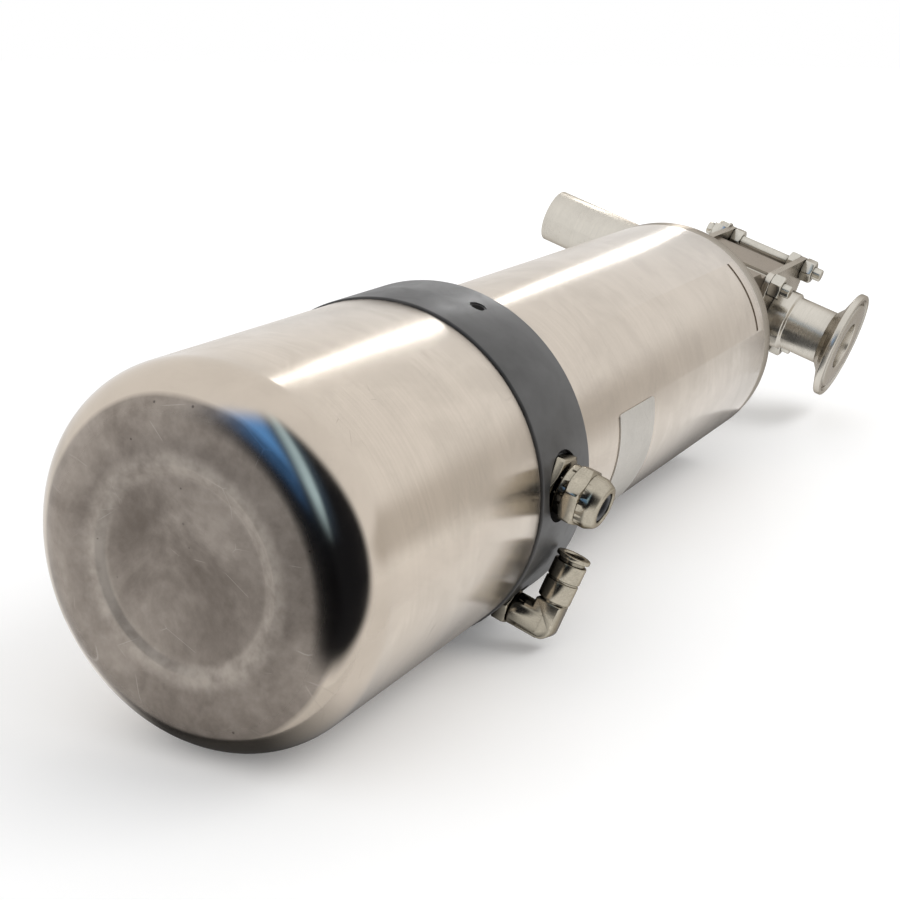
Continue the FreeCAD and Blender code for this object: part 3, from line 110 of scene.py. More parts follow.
# Places of the fittings: each one's own x axis leads away from the head
GLAND = moved(SWIVEL.x, 0, 16.7) @ FERRULE_SIDE
STEM = moved(SWIVEL.x, 0, SWIVEL.z) @ FERRULE_SIDE
ELBOW_TURN = math.radians(16.5)
ELBOW = moved(*SWIVEL) @ FERRULE_SIDE @ Matrix.Rotation(-ELBOW_TURN, 4, "X")
SLEEVE = ELBOW @ Matrix.Rotation(-math.pi / 2, 4, "Y")

# The two ways along the flow, from the middle of the pinched hose
TO_FERRULE = moved(PINCH, 0, 0) @ FERRULE_SIDE
TO_PIPE = moved(PINCH, 0, 0) @ PIPE_SIDE


# Meshes


def in_scene(name, data):
    """Make an object of a mesh, a lamp or a camera and put it in the scene."""
    thing = bpy.data.objects.new(name, data)
    scene.collection.objects.link(thing)
    return thing


def mesh_of(name, shape, material):
    """Turn a shape, which is used up, into a mesh of one material."""
    mesh = bpy.data.meshes.new(name)
    shape.to_mesh(mesh)
    shape.free()
    mesh.materials.append(material)
    return mesh


def shaded(mesh):
    """Shade a mesh smooth, apart from its sharp edges."""
    for polygon in mesh.polygons:
        polygon.use_smooth = True
    mesh.set_sharp_from_angle(angle=math.radians(32))


def finished(name, shape, material, place=AXIAL):
    """Make a piece from a shape in millimetres and put it in its place."""
    bmesh.ops.recalc_face_normals(shape, faces=shape.faces)
    mesh = mesh_of(name, shape, material)
    mesh.transform(VALVE @ place)
    shaded(mesh)
    return in_scene(name, mesh)


def applied(piece):
    """Turn a piece's modifiers into its mesh."""
    evaluated = piece.evaluated_get(bpy.context.evaluated_depsgraph_get())
    mesh = bpy.data.meshes.new_from_object(evaluated)
    piece.modifiers.clear()
    piece.data = mesh
    return piece


def cut_by(piece, *cutters, operation="DIFFERENCE"):
    """Cut a piece with others, which are used up."""
    for cutter in cutters:
        step = piece.modifiers.new("cut", "BOOLEAN")
        step.operation = operation
        step.solver = "EXACT"
        step.object = cutter
        bpy.context.view_layer.update()
        applied(piece)
        bpy.data.objects.remove(cutter)
    shaded(piece.data)
    return piece


def eased(piece, width, segments=2, angle=40.0):
    """Break a piece's sharp edges by a width in millimetres."""
    step = piece.modifiers.new("ease", "BEVEL")
    step.width = width * MM
    step.segments = segments
    step.limit_method = "ANGLE"
    step.angle_limit = math.radians(angle)
    step.harden_normals = True
    step.use_clamp_overlap = True
    return applied(piece)


ARC_STEPS = 3.2  # steps of a corner's arc, for a turn of one radian at a radius of 1 mm


def rounded(corners):
    """Points of a closed outline of (across, up, corner radius), each corner turned to an arc."""
    points = []
    for index, (across, up, bend) in enumerate(corners):
        here = Vector((across, up))
        if not bend:
            points.append(here)
            continue
        back = (Vector(corners[index - 1][:2]) - here).normalized()
        on = (Vector(corners[(index + 1) % len(corners)][:2]) - here).normalized()
        half = back.angle(on) / 2
        centre = here + (back + on).normalized() * (bend / math.sin(half))
        first = here + back * (bend / math.tan(half)) - centre
        last = here + on * (bend / math.tan(half)) - centre
        sweep = first.angle_signed(last)
        steps = max(2, math.ceil(abs(sweep) * math.sqrt(bend) * ARC_STEPS))
        for step in range(steps + 1):
            turned = Matrix.Rotation(-sweep * step / steps, 2) @ first
            points.append(centre + turned)
    return points


def turned_piece(name, corners, material, place=AXIAL, sides=96, radius_at=None):
    """Turn a closed outline of (x, radius, corner radius) about the x axis.

    radius_at(x, radius, angle) may give back another (x, radius), as for a hexagon."""
    shape = bmesh.new()
    rings = []
    for x, radius in rounded(corners):
        if radius < 1e-6:
            rings.append([shape.verts.new((x, 0, 0))])
            continue
        ring = []
        for side in range(sides):
            angle = 2 * math.pi * side / sides
            at, out = radius_at(x, radius, angle) if radius_at else (x, radius)
            ring.append(shape.verts.new((at, out * math.cos(angle), out * math.sin(angle))))
        rings.append(ring)
    for near, far in zip(rings, rings[1:] + rings[:1]):
        if len(near) == 1 and len(far) == 1:
            continue
        for side in range(sides):
            following = (side + 1) % sides
            loop = [near[side % len(near)], near[following % len(near)]]
            loop += [far[following % len(far)], far[side % len(far)]]
            loop = list(dict.fromkeys(loop))
            if len(loop) > 2:
                shape.faces.new(loop)
    return finished(name, shape, material, place)


def hexagon_radius(across_flats, face_radius, start, end, corner_turn=0.0):
    """How far a hexagon reaches at each angle, with its corners chamfered at 30 degrees.

    corner_turn, in radians, turns it about its axis."""
    middle = (start + end) / 2

    def radius_at(x, radius, angle):
        if radius < across_flats / 2 - 0.001:
            return x, radius
        from_flat = (angle - corner_turn) % (math.pi / 3) - math.pi / 6
        reach = across_flats / 2 / math.cos(from_flat)
        drop = max(0.0, reach - face_radius) * math.tan(math.radians(30))
        return (start + drop if x < middle else end - drop), reach

    return radius_at


def hexagon_piece(name, across_flats, start, end, material, bore=0.0, place=AXIAL,
                  corner_turn=0.0, chamfers=(True, True)):
    """A nut or screw head, with the arcs that a lathe's chamfer leaves on its flats."""
    wide = across_flats / 2
    face = wide * 0.97
    corners = [(start, bore, 0), (start, face, 0), (start, wide, 0)]
    corners += [(end, wide, 0), (end, face, 0), (end, bore, 0)]
    chamfered = hexagon_radius(across_flats, face, start, end, corner_turn)

    def radius_at(x, radius, angle):
        at, out = chamfered(x, radius, angle)
        has_chamfer = chamfers[0] if x < (start + end) / 2 else chamfers[1]
        return (at if has_chamfer else x), out

    piece = turned_piece(name, corners, material, place, sides=72, radius_at=radius_at)
    return eased(piece, 0.12, angle=25)


def block(name, outline, start, end, material, place=AXIAL, axes=(0, 2, 1)):
    """Push an outline, of (across, up, corner radius), from start to end.

    axes says which of x, y and z the outline's two directions and the push go along."""
    shape = bmesh.new()
    sides = []
    for depth in (start, end):
        layer = []
        for across, up in rounded(outline):
            spot = [0.0, 0.0, 0.0]
            spot[axes[0]], spot[axes[1]], spot[axes[2]] = across, up, depth
            layer.append(shape.verts.new(spot))
        sides.append(layer)
    near, far = sides
    for index in range(len(near)):
        following = (index + 1) % len(near)
        shape.faces.new([near[index], near[following], far[following], far[index]])
    shape.faces.new(near)
    shape.faces.new(reversed(far))
    return finished(name, shape, material, place)


def cylinder(name, radius, start, end, place=AXIAL, sides=64):
    """A plain round cutter."""
    corners = [(start, 0, 0), (start, radius, 0), (end, radius, 0), (end, 0, 0)]
    return turned_piece(name, corners, cutter_finish, place, sides)


def stand_for(piece, slot, *nodes, body="valve_body"):
    """Let a piece take the place of CAD nodes, on their body. slot is not used."""
    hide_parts(*nodes)
    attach(piece, body)
    return piece


# Node trees


class Graph:
    """Adds nodes to a tree. An input that is given a socket is linked, any other is set."""

    def __init__(self, tree):
        self.tree = tree

    def add(self, kind, inputs=None, **settings):
        node = self.tree.nodes.new(kind)
        for name, value in settings.items():
            setattr(node, name, value)
        for name, value in (inputs or {}).items():
            socket = node.inputs[name]
            if isinstance(value, bpy.types.NodeSocket):
                self.tree.links.new(value, socket)
            else:
                socket.default_value = value
        return node

    def math(self, operation, first, second=0.0):
        return self.add("ShaderNodeMath", {0: first, 1: second}, operation=operation).outputs[0]

    def times(self, first, second):
        return self.math("MULTIPLY", first, second)

    def plus(self, first, second):
        return self.math("ADD", first, second)

    def distance(self, across, up):
        return self.math("SQRT", self.plus(self.times(across, across), self.times(up, up)))

    def scaled(self, vector, factors):
        node = self.add("ShaderNodeVectorMath", {0: vector, 1: factors}, operation="MULTIPLY")
        return node.outputs[0]

    def noise(self, vector, scale=1.0, detail=2.0, roughness=0.5, distortion=0.0):
        inputs = {"Vector": vector, "Scale": scale, "Detail": detail, "Roughness": roughness}
        inputs["Distortion"] = distortion
        return self.add("ShaderNodeTexNoise", inputs).outputs["Fac"]

    def spread(self, value, low, high, to_low=0.0, to_high=1.0, smooth=False):
        inputs = {"Value": value, "From Min": low, "From Max": high}
        inputs.update({"To Min": to_low, "To Max": to_high})
        kind = "SMOOTHSTEP" if smooth else "LINEAR"
        return self.add("ShaderNodeMapRange", inputs, interpolation_type=kind).outputs["Result"]

    def blend(self, factor, first, second):
        node = self.add("ShaderNodeMix", data_type="RGBA", clamp_factor=True)
        for index, value in ((0, factor), (6, first), (7, second)):
            if isinstance(value, bpy.types.NodeSocket):
                self.tree.links.new(value, node.inputs[index])
            elif index and len(value) == 3:
                node.inputs[index].default_value = (*value, 1.0)
            else:
                node.inputs[index].default_value = value
        return node.outputs[2]

    def apart(self, vector):
        return self.add("ShaderNodeSeparateXYZ", {0: vector}).outputs


def effect(name, inputs, outputs):
    """A shader node group with named inputs and outputs: (group, graph, inputs' sockets, its end).

    inputs are its (name, kind, default)."""
    tree = bpy.data.node_groups.new(name, "ShaderNodeTree")
    for label, kind, default in inputs:
        socket = tree.interface.new_socket(label, in_out="INPUT", socket_type="NodeSocket" + kind)
        if default is not None:
            socket.default_value = default
    for label in outputs:
        tree.interface.new_socket(label, in_out="OUTPUT", socket_type="NodeSocketFloat")
    graph = Graph(tree)
    return tree, graph, graph.add("NodeGroupInput").outputs, graph.add("NodeGroupOutput").inputs


def make_brushed_grain():
    """Fine lines left by an abrasive belt: Grain is how many lines lie on a millimetre, per axis."""
    inputs = [("Place", "Vector", None), ("Grain", "Vector", (6.0, 0.1, 0.1))]
    tree, graph, given, end = effect("brushed_grain", inputs, ["Lines", "Streaks"])
    fine = graph.scaled(given["Place"], given["Grain"])
    lines = graph.noise(fine, 1.0, 3.0, 0.65)
    streaks = graph.noise(fine, 0.16, 2.0, 0.6)
    tree.links.new(graph.spread(lines, 0.3, 0.7), end["Lines"])
    tree.links.new(graph.spread(streaks, 0.3, 0.7), end["Streaks"])
    return tree


def make_handling_marks():
    """What years of use leave: dull smudges, hairline scratches and small dark specks."""
    inputs = [("Place", "Vector", None), ("Size", "Float", 1.0)]
    tree, graph, given, end = effect("handling_marks", inputs, ["Smudge", "Scratch", "Speck"])
    sized = {0: given["Place"], "Scale": given["Size"]}
    place = graph.add("ShaderNodeVectorMath", sized, operation="SCALE").outputs[0]
    smudge = graph.noise(place, 0.045, 4.0, 0.6, 0.6)
    tree.links.new(graph.spread(smudge, 0.38, 0.68, smooth=True), end["Smudge"])
    stretched = {"Vector": place, "Rotation": (0.6, 0.3, 0.9), "Scale": (0.11, 0.035, 0.06)}
    cells = {"Vector": graph.add("ShaderNodeMapping", stretched).outputs[0], "Scale": 1.0}
    crack = graph.add("ShaderNodeTexVoronoi", cells, feature="DISTANCE_TO_EDGE").outputs["Distance"]
    line = graph.spread(crack, 0.0, 0.006, 1.0, 0.0)
    gate = graph.spread(graph.noise(place, 0.09, 1.0), 0.56, 0.62)
    tree.links.new(graph.times(line, gate), end["Scratch"])
    speck = graph.add("ShaderNodeTexVoronoi", {"Vector": place, "Scale": 0.13}).outputs["Distance"]
    tree.links.new(graph.spread(speck, 0.035, 0.06, 1.0, 0.0), end["Speck"])
    return tree


def make_fine_texture():
    """The even pebble of moulded plastic, rubber or anodised metal."""
    inputs = [("Place", "Vector", None), ("Pebbles", "Float", 4.0)]
    tree, graph, given, end = effect("fine_texture", inputs, ["Height", "Tone"])
    tree.links.new(graph.noise(given["Place"], given["Pebbles"], 3.0, 0.6), end["Height"])
    tone = graph.noise(given["Place"], 0.08, 3.0, 0.55)
    tree.links.new(graph.spread(tone, 0.3, 0.7), end["Tone"])
    return tree


BRUSHED_GRAIN = make_brushed_grain()
HANDLING_MARKS = make_handling_marks()
FINE_TEXTURE = make_fine_texture()


# Finishes


def new_finish(name):
    """A material, its graph, its shader and the valve frame's place in millimetres."""
    material = bpy.data.materials.new(name)
    material.use_nodes = True
    graph = Graph(material.node_tree)
    shader = material.node_tree.nodes["Principled BSDF"]
    spot = graph.add("ShaderNodeTexCoord").outputs["Object"]
    inputs = {"Vector": spot, "Location": SEAM, "Rotation": (ROLL, 0, 0), "Scale": (MM, MM, MM)}
    place = graph.add("ShaderNodeMapping", inputs, vector_type="TEXTURE").outputs[0]
    return material, graph, shader, place


def use(graph, tree, **inputs):
    """Place an effect's group and give its outputs."""
    return graph.add("ShaderNodeGroup", inputs, node_tree=tree).outputs


def join(graph, shader, colour, roughness, height, strength, depth):
    """Link a finish's colour, roughness and height, of a depth in millimetres, to its shader."""
    relief = {"Height": height, "Strength": strength, "Distance": depth * MM}
    bump = graph.add("ShaderNodeBump", relief).outputs[0]
    for label, value in (("Base Color", colour), ("Roughness", roughness), ("Normal", bump)):
        graph.tree.links.new(value, shader.inputs[label])


def darker(colour, share):
    """A colour with a share of its light."""
    return [part * share for part in colour]


EDGE_TINT = (0.45, 0.42, 0.39, 1.0)  # what worn steel gives back at a glancing angle


def steel(name, colour, grain, roughness=0.28, tone=0.12, bite=0.25, marks=0.3, size=1.0, painted_corner_shade=0.0,
          brushed_round=0.0):
    """Brushed or turned metal.

    grain says how its lines run, tone how much they show, bite how deep they are, marks how worn
    it is, size how small its marks are and painted_corner_shade how much painted shade darkens its
    corners."""
    material, graph, shader, place = new_finish(name)
    shader.inputs["Metallic"].default_value = 1.0
    brushed = use(graph, BRUSHED_GRAIN, Place=place, Grain=grain)
    worn = use(graph, HANDLING_MARKS, Place=place, Size=size)
    lined = graph.plus(graph.times(brushed["Lines"], 0.55), graph.times(brushed["Streaks"], 0.45))
    tint = graph.blend(lined, darker(colour, 1 - 2 * tone), colour)
    tint = graph.blend(graph.times(worn["Smudge"], marks), tint, darker(colour, 0.72))
    tint = graph.blend(graph.times(worn["Scratch"], marks), tint, darker(colour, 0.5))
    rough = graph.spread(lined, 0.0, 1.0, roughness * 1.15, roughness * 0.85)
    rough = graph.plus(rough, graph.times(worn["Smudge"], 0.12 * marks))
    # Painted shade: ambient occlusion darkens the colour in enclosed corners, where shade would fall.
    if painted_corner_shade:
        open_sky = graph.add("ShaderNodeAmbientOcclusion", {"Distance": 0.009}, samples=4).outputs["AO"]
        corner = graph.times(graph.spread(open_sky, 0.85, 0.3), painted_corner_shade)
        tint = graph.blend(corner, tint, darker(colour, 0.12))
    height = graph.math("SUBTRACT", brushed["Lines"], worn["Scratch"])
    join(graph, shader, tint, rough, height, bite, 0.03)
    if brushed_round:
        brush_round(graph, shader, brushed_round)
    else:
        shader.inputs["Specular Tint"].default_value = EDGE_TINT
    return material


def moulded(name, colour, roughness=0.5, pebbles=4.0, bite=0.2, soft=0.0):
    """Plastic, rubber or silicone straight from its mould, a little dusty."""
    material, graph, shader, place = new_finish(name)
    texture = use(graph, FINE_TEXTURE, Place=place, Pebbles=pebbles)
    worn = use(graph, HANDLING_MARKS, Place=place, Size=2.0)
    dusty = [part + 0.06 * (1 - part) for part in colour]
    tint = graph.blend(graph.times(texture["Tone"], 0.6), colour, dusty)
    rough = graph.spread(texture["Tone"], 0.0, 1.0, roughness - 0.06, roughness + 0.06)
    rough = graph.plus(rough, graph.times(worn["Smudge"], 0.08))
    join(graph, shader, tint, rough, texture["Height"], bite, 0.04)
    if soft:
        shader.inputs["Subsurface Weight"].default_value = soft
        shader.inputs["Subsurface Radius"].default_value = (0.003, 0.0028, 0.0025)
    return material


def brush_round(graph, shader, strength, where=1.0):
    """Let lines brushed round the x axis draw its highlights out along that axis."""
    along = graph.add("ShaderNodeCombineXYZ", {"X": where, "Z": graph.math("SUBTRACT", 1.0, where)})
    graph.tree.links.new(along.outputs[0], shader.inputs["Tangent"])
    graph.tree.links.new(graph.times(where, strength), shader.inputs["Anisotropic"])


def stain_end(graph, place, radius, worn):
    """The cup's dull end: cloudy stains, a pale ring, a dark core, scratches and pits.

    It gives the end's colour, roughness, grit and pits."""
    clouds = graph.noise(place, 0.03, 6.0, 0.62, 0.4)
    stain = graph.blend(graph.spread(clouds, 0.36, 0.64), (0.225, 0.192, 0.165), (0.37, 0.325, 0.285))
    grit = graph.spread(graph.noise(place, 0.28, 5.0, 0.55), 0.35, 0.65)
    stain = graph.blend(0.16, stain, graph.blend(grit, (0.10, 0.08, 0.065), (0.44, 0.39, 0.345)))
    inner_edge = graph.spread(radius, 23.5, 26.5, smooth=True)
    outer_edge = graph.spread(radius, 29.0, 33.0, smooth=True)
    ring = graph.math("SUBTRACT", inner_edge, outer_edge)
    patchy = graph.spread(graph.noise(place, 0.07, 4.0, 0.65), 0.35, 0.62, 0.1, 0.75)
    stain = graph.blend(graph.times(ring, patchy), stain, (0.52, 0.465, 0.41))
    cloudy = graph.spread(clouds, 0.62, 0.4, 0.0, 0.6)
    core = graph.times(graph.spread(radius, 25.0, 17.0), cloudy)
    stain = graph.blend(core, stain, (0.15, 0.125, 0.105))
    stain = graph.blend(graph.times(worn["Scratch"], 0.45), stain, (0.6, 0.55, 0.5))
    pits = graph.times(worn["Speck"], graph.spread(graph.noise(place, 0.1, 1.0), 0.42, 0.5))
    stain = graph.blend(graph.times(pits, 0.75), stain, (0.05, 0.04, 0.035))
    worn_smooth = graph.spread(radius, 33.0, 45.0, 0.42, 0.2)
    matt = graph.plus(worn_smooth, graph.spread(clouds, 0.3, 0.7, 0.06, -0.03))
    return stain, matt, grit, pits


def make_cup_finish():
    """Drawn steel: a brushed side, a polished shoulder and a dull, stained end."""
    material, graph, shader, place = new_finish("cup_steel")
    shader.inputs["Metallic"].default_value = 1.0
    x, y, z = graph.apart(place)
    radius = graph.distance(y, z)
    worn = use(graph, HANDLING_MARKS, Place=place, Size=1.0)
    brushed = use(graph, BRUSHED_GRAIN, Place=place, Grain=ROUND_X)

    side = graph.spread(x, -87.0, -76.0, smooth=True)
    lines = graph.plus(graph.times(brushed["Lines"], 0.5), graph.times(brushed["Streaks"], 0.5))
    bright = graph.blend(graph.times(side, lines), (0.60, 0.525, 0.445), (0.68, 0.595, 0.505))
    bright = graph.blend(graph.times(worn["Smudge"], 0.35), bright, (0.50, 0.44, 0.37))
    bright = graph.blend(graph.times(worn["Scratch"], 0.4), bright, (0.30, 0.26, 0.22))
    polish = graph.spread(side, 0.0, 1.0, 0.13, 0.21)
    polish = graph.plus(polish, graph.times(worn["Smudge"], 0.05))

    stain, matt, grit, pits = stain_end(graph, place, radius, worn)
    wobble = graph.times(graph.noise(place, 0.03, 2.0), 2.5)
    dull = graph.spread(graph.plus(radius, wobble), 47.6, 46.2)
    dull = graph.times(dull, graph.spread(x, -92.0, -94.0))
    colour = graph.blend(dull, bright, stain)
    rough = graph.add("ShaderNodeMix", {0: dull, 2: polish, 3: matt}).outputs[0]
    height = graph.times(graph.times(side, brushed["Lines"]), 0.35)
    height = graph.plus(height, graph.times(graph.times(dull, grit), 0.35))
    height = graph.math("SUBTRACT", height, graph.times(pits, dull))
    join(graph, shader, colour, rough, height, 0.25, 0.03)
    brush_round(graph, shader, 0.55, side)
    return material


# How the grain runs: round the x, y or z axis, or without a direction
ROUND_X = (7.0, 0.12, 0.12)
ROUND_Y = (0.12, 7.0, 0.12)
ROUND_Z = (0.12, 0.12, 7.0)
EVEN = (2.0, 2.0, 2.0)

cutter_finish = bpy.data.materials.new("cutter_finish")
cup_steel = make_cup_finish()
barrel_steel = steel("barrel_steel", (0.66, 0.585, 0.505), ROUND_X, 0.21, 0.05, 0.1, 0.3,
                     brushed_round=0.55)
plate_steel = steel("plate_steel", (0.56, 0.52, 0.46), ROUND_X, 0.25, 0.1, 0.2, 0.4)
body_steel = steel("body_steel", (0.56, 0.51, 0.45), EVEN, 0.3, 0.08, 0.2, 0.5)
# The pipe, screw and fitting finishes darken their enclosed corners with painted shade.
pipe_steel = steel("pipe_steel", (0.70, 0.66, 0.59), ROUND_Y, 0.24, 0.06, 0.08, 0.4, painted_corner_shade=0.85)
bar_steel = steel("bar_steel", (0.58, 0.57, 0.54), ROUND_X, 0.28, 0.1, 0.2, 0.2)
screw_steel = steel("screw_steel", (0.70, 0.67, 0.60), EVEN, 0.17, 0.08, 0.1, 0.3, 2.0, 0.8)
fitting_nickel = steel("fitting_nickel", (0.60, 0.545, 0.44), EVEN, 0.16, 0.2, 0.1, 1.0, 2.0, 0.9)
wire_steel = steel("wire_steel", (0.5, 0.48, 0.45), ROUND_X, 0.3, 0.1, 0.1, 0.2)
inner_steel = steel("inner_steel", (0.5, 0.5, 0.49), ROUND_X, 0.35, 0.1, 0.2, 0.2)
spring_steel = steel("spring_steel", (0.36, 0.36, 0.37), EVEN, 0.35, 0.1, 0.2, 0.2)
bracket_zinc = steel("bracket_zinc", (0.6, 0.61, 0.62), EVEN, 0.35, 0.12, 0.1, 0.4)
switch_steel = steel("switch_steel", (0.62, 0.6, 0.56), ROUND_Z, 0.2, 0.08, 0.2, 0.2)
piston_alloy = steel("piston_alloy", (0.66, 0.67, 0.68), ROUND_X, 0.3, 0.08, 0.2, 0.2)
rod_steel = steel("rod_steel", (0.7, 0.7, 0.7), ROUND_X, 0.1, 0.04, 0.05, 0.1)
target_steel = steel("target_steel", (0.4, 0.4, 0.41), ROUND_X, 0.35, 0.1, 0.2, 0.2)
bearing_bronze = steel("bearing_bronze", (0.55, 0.4, 0.22), EVEN, 0.4, 0.12, 0.2, 0.2)
label_foil = steel("label_foil", (0.78, 0.76, 0.72), EVEN, 0.45, 0.05, 0.1, 0.3)
head_black = moulded("head_black", (0.030, 0.0285, 0.0275), 0.36, 3.0, 0.12)
seal_rubber = moulded("seal_rubber", (0.03, 0.03, 0.03), 0.6)
gland_rubber = moulded("gland_rubber", (0.014, 0.015, 0.018), 0.45)
hose_silicone = moulded("hose_silicone", (0.8, 0.78, 0.74), 0.4, 2.0, 0.1, 0.4)
terminal_plastic = moulded("terminal_plastic", (0.45, 0.46, 0.44), 0.5)
pilot_plastic = moulded("pilot_plastic", (0.045, 0.045, 0.05), 0.45)
guide_plastic = moulded("guide_plastic", (0.12, 0.1, 0.08), 0.5)

FINISHES = {material.name: material for material in bpy.data.materials}
SLOT_OF = {}
for entry in (
    "cup_steel: end_cup",
    "head_black: actuator_head",
    "barrel_steel: cylinder_barrel",
    "plate_steel: barrel_end_plate",
    "wire_steel: retaining_wire",
    "body_steel: body_flange pinch_body",
    "bar_steel: fixed_pinch_bar moving_pinch_bar",
    "pipe_steel: plain_end_plate plain_end_pipe clamp_end_plate clamp_end_pipe clamp_ferrule",
    "screw_steel: body_screws fixed_bar_screw tie_bolts tie_bolt_washers tie_bolt_nuts",
    "screw_steel: inner_lock_nuts bracket_screws piston_nut bar_pin",
    "fitting_nickel: gland_body gland_nut elbow_stem elbow_body release_collar",
    "seal_rubber: gland_washer cup_seal head_seal end_plate_seal piston_seal tube_seal",
    "gland_rubber: gland_insert",
    "label_foil: label_plate",
    "hose_silicone: hose_sleeve",
    "bearing_bronze: rod_bush indicator_bush",
    "inner_steel: stop_tube",
    "spring_steel: return_spring",
    "bracket_zinc: switch_bracket",
    "switch_steel: open_switch closed_switch",
    "terminal_plastic: terminal_block",
    "pilot_plastic: pilot_valve",
    "piston_alloy: piston",
    "guide_plastic: piston_guide_ring",
    "rod_steel: piston_rod indicator_rod",
    "target_steel: switch_target",
):
    slot_name, members = entry.split(": ")
    for member in members.split():
        SLOT_OF[member] = slot_name

for node_name, node in frame["nodes"].items():
    node.data.materials.clear()
    node.data.materials.append(FINISHES[SLOT_OF[node_name]])


# Actuator


def make_cup():
    """Deep-drawn cup: a round shoulder, a shallow dish pressed into its end and an open seam."""
    corners = [
        (-SEAM_GAP, CUP_RADIUS, 0.35),
        (-CUP_LENGTH, CUP_RADIUS, 14.0),
        (-CUP_LENGTH, 28.0, 3.0),
        (-CUP_LENGTH + 1.2, 25.0, 3.0),
        (-CUP_LENGTH + 1.2, 0, 0),
        (-CUP_LENGTH + 1.2 + CUP_WALL, 0, 0),
        (-CUP_LENGTH + 1.2 + CUP_WALL, 24.5, 1.5),
        (-CUP_LENGTH + CUP_WALL, 27.5, 3.0),
        (-CUP_LENGTH + CUP_WALL, CUP_RADIUS - CUP_WALL, 12.5),
        (-SEAM_GAP, CUP_RADIUS - CUP_WALL, 0.2),
    ]
    cup = turned_piece("deep_drawn_cup", corners, cup_steel, sides=192)
    return stand_for(cup, "cup_steel", "end_cup")


def make_head():
    """The black ring: a turned casting with a spot face milled for each fitting and a vent hole."""
    spigot, hub, hollow, floor = 51.38, 16.0, 41.0, 26.0
    corners = [
        (-8, 6, 0.3),
        (-8, hub, 0.5),
        (floor, hub, 0.5),
        (floor, hollow, 1.0),
        (-8, hollow, 0.4),
        (-8, spigot, 0.4),
        (0, spigot, 0),
        (0, HEAD_RADIUS, 0.5),
        (HEAD_LENGTH, HEAD_RADIUS, 0.7),
        (HEAD_LENGTH, NOSE_RADIUS, 0),
        (HEAD_LENGTH + 12, NOSE_RADIUS, 0.4),
        (HEAD_LENGTH + 12, 6, 0.3),
    ]
    head = turned_piece("head_ring", corners, head_black, sides=224)
    far = HEAD_RADIUS + 4
    upright = moved(21.0, -4.0, 0) @ Matrix.Rotation(-math.pi / 2, 4, "Y")
    cut_by(
        head,
        cylinder("gland_face", 10.4, GLAND_SEAT, far, GLAND),
        cylinder("gland_bore", 6.05, 20, far, GLAND),
        cylinder("elbow_face", 8.0, ELBOW_SEAT, far, STEM),
        cylinder("elbow_bore", 4.85, 20, far, STEM),
        cylinder("vent_face", 2.7, 53.0, far, upright),
        cylinder("vent_bore", 2.1, 40, far, upright),
    )
    return stand_for(head, "head_black", "actuator_head")


def arched_bar(name, stations, angles, radii, step=2.0):
    """A bar bent round the x axis, between two angles in degrees from the ferrule side to the top."""
    start, end = stations
    inner, outer = radii
    shape = bmesh.new()
    count = max(2, math.ceil((angles[1] - angles[0]) / step))
    rings = []
    for index in range(count + 1):
        angle = math.radians(angles[0] + (angles[1] - angles[0]) * index / count)
        ring = []
        for x, radius in zip((start, end, end, start), (inner, inner, outer, outer)):
            ring.append(shape.verts.new((x, -radius * math.cos(angle), radius * math.sin(angle))))
        rings.append(ring)
    for near, far in zip(rings, rings[1:]):
        for side in range(4):
            following = (side + 1) % 4
            shape.faces.new([near[side], near[following], far[following], far[side]])
    shape.faces.new(rings[0])
    shape.faces.new(rings[-1])
    return finished(name, shape, cutter_finish)


def make_barrel():
    """A thin bright tube, slotted near its end where the retaining wire goes in."""
    corners = [
        (HEAD_LENGTH, BARREL_BORE, 0),
        (HEAD_LENGTH, BARREL_RADIUS, 0.3),
        (BARREL_END, BARREL_RADIUS, 0.25),
        (BARREL_END, BARREL_BORE, 0.2),
    ]
    barrel = turned_piece("barrel_tube", corners, barrel_steel, sides=224)
    slot_ends = (WIRE_STATION - 1, WIRE_STATION + 1)
    cut_by(barrel, arched_bar("wire_slot", slot_ends, (28.5, 65.5), (44, 48)))
    return stand_for(barrel, "barrel_steel", "cylinder_barrel")


def make_end_plate():
    """The plate that closes the barrel, grooved for the retaining wire."""
    half = WIRE_RADIUS
    nose_start, bush_hole = 210.8, 10.0
    corners = [
        (nose_start, bush_hole, 0.3),
        (nose_start, NOSE_RADIUS, 0.5),
        (WIRE_STATION - half, NOSE_RADIUS, 0),
        (WIRE_STATION - half, NOSE_RADIUS - half, 0),
        (WIRE_STATION + half, NOSE_RADIUS - half, 0),
        (WIRE_STATION + half, NOSE_RADIUS, 0),
        (BARREL_END, NOSE_RADIUS, 0),
        (BARREL_END, BARREL_RADIUS, 0.25),
        (BODY_START - 1, BARREL_RADIUS, 0.2),
        (BODY_START, BARREL_RADIUS - 1, 0.2),
        (BODY_START, bush_hole, 0.3),
    ]
    plate = turned_piece("end_plate", corners, plate_steel, sides=192)
    return stand_for(plate, "plate_steel", "barrel_end_plate")


def make_retaining_wire():
    """The round wire that holds the end plate in the barrel."""
    half = WIRE_RADIUS
    near, far = WIRE_STATION - half, WIRE_STATION + half
    inner, outer = BARREL_BORE - half, BARREL_BORE + half
    round_wire = [(near, inner, half), (near, outer, half), (far, outer, half), (far, inner, half)]
    wire = turned_piece("wire_ring", round_wire, wire_steel, sides=192)
    return stand_for(wire, "wire_steel", "retaining_wire")


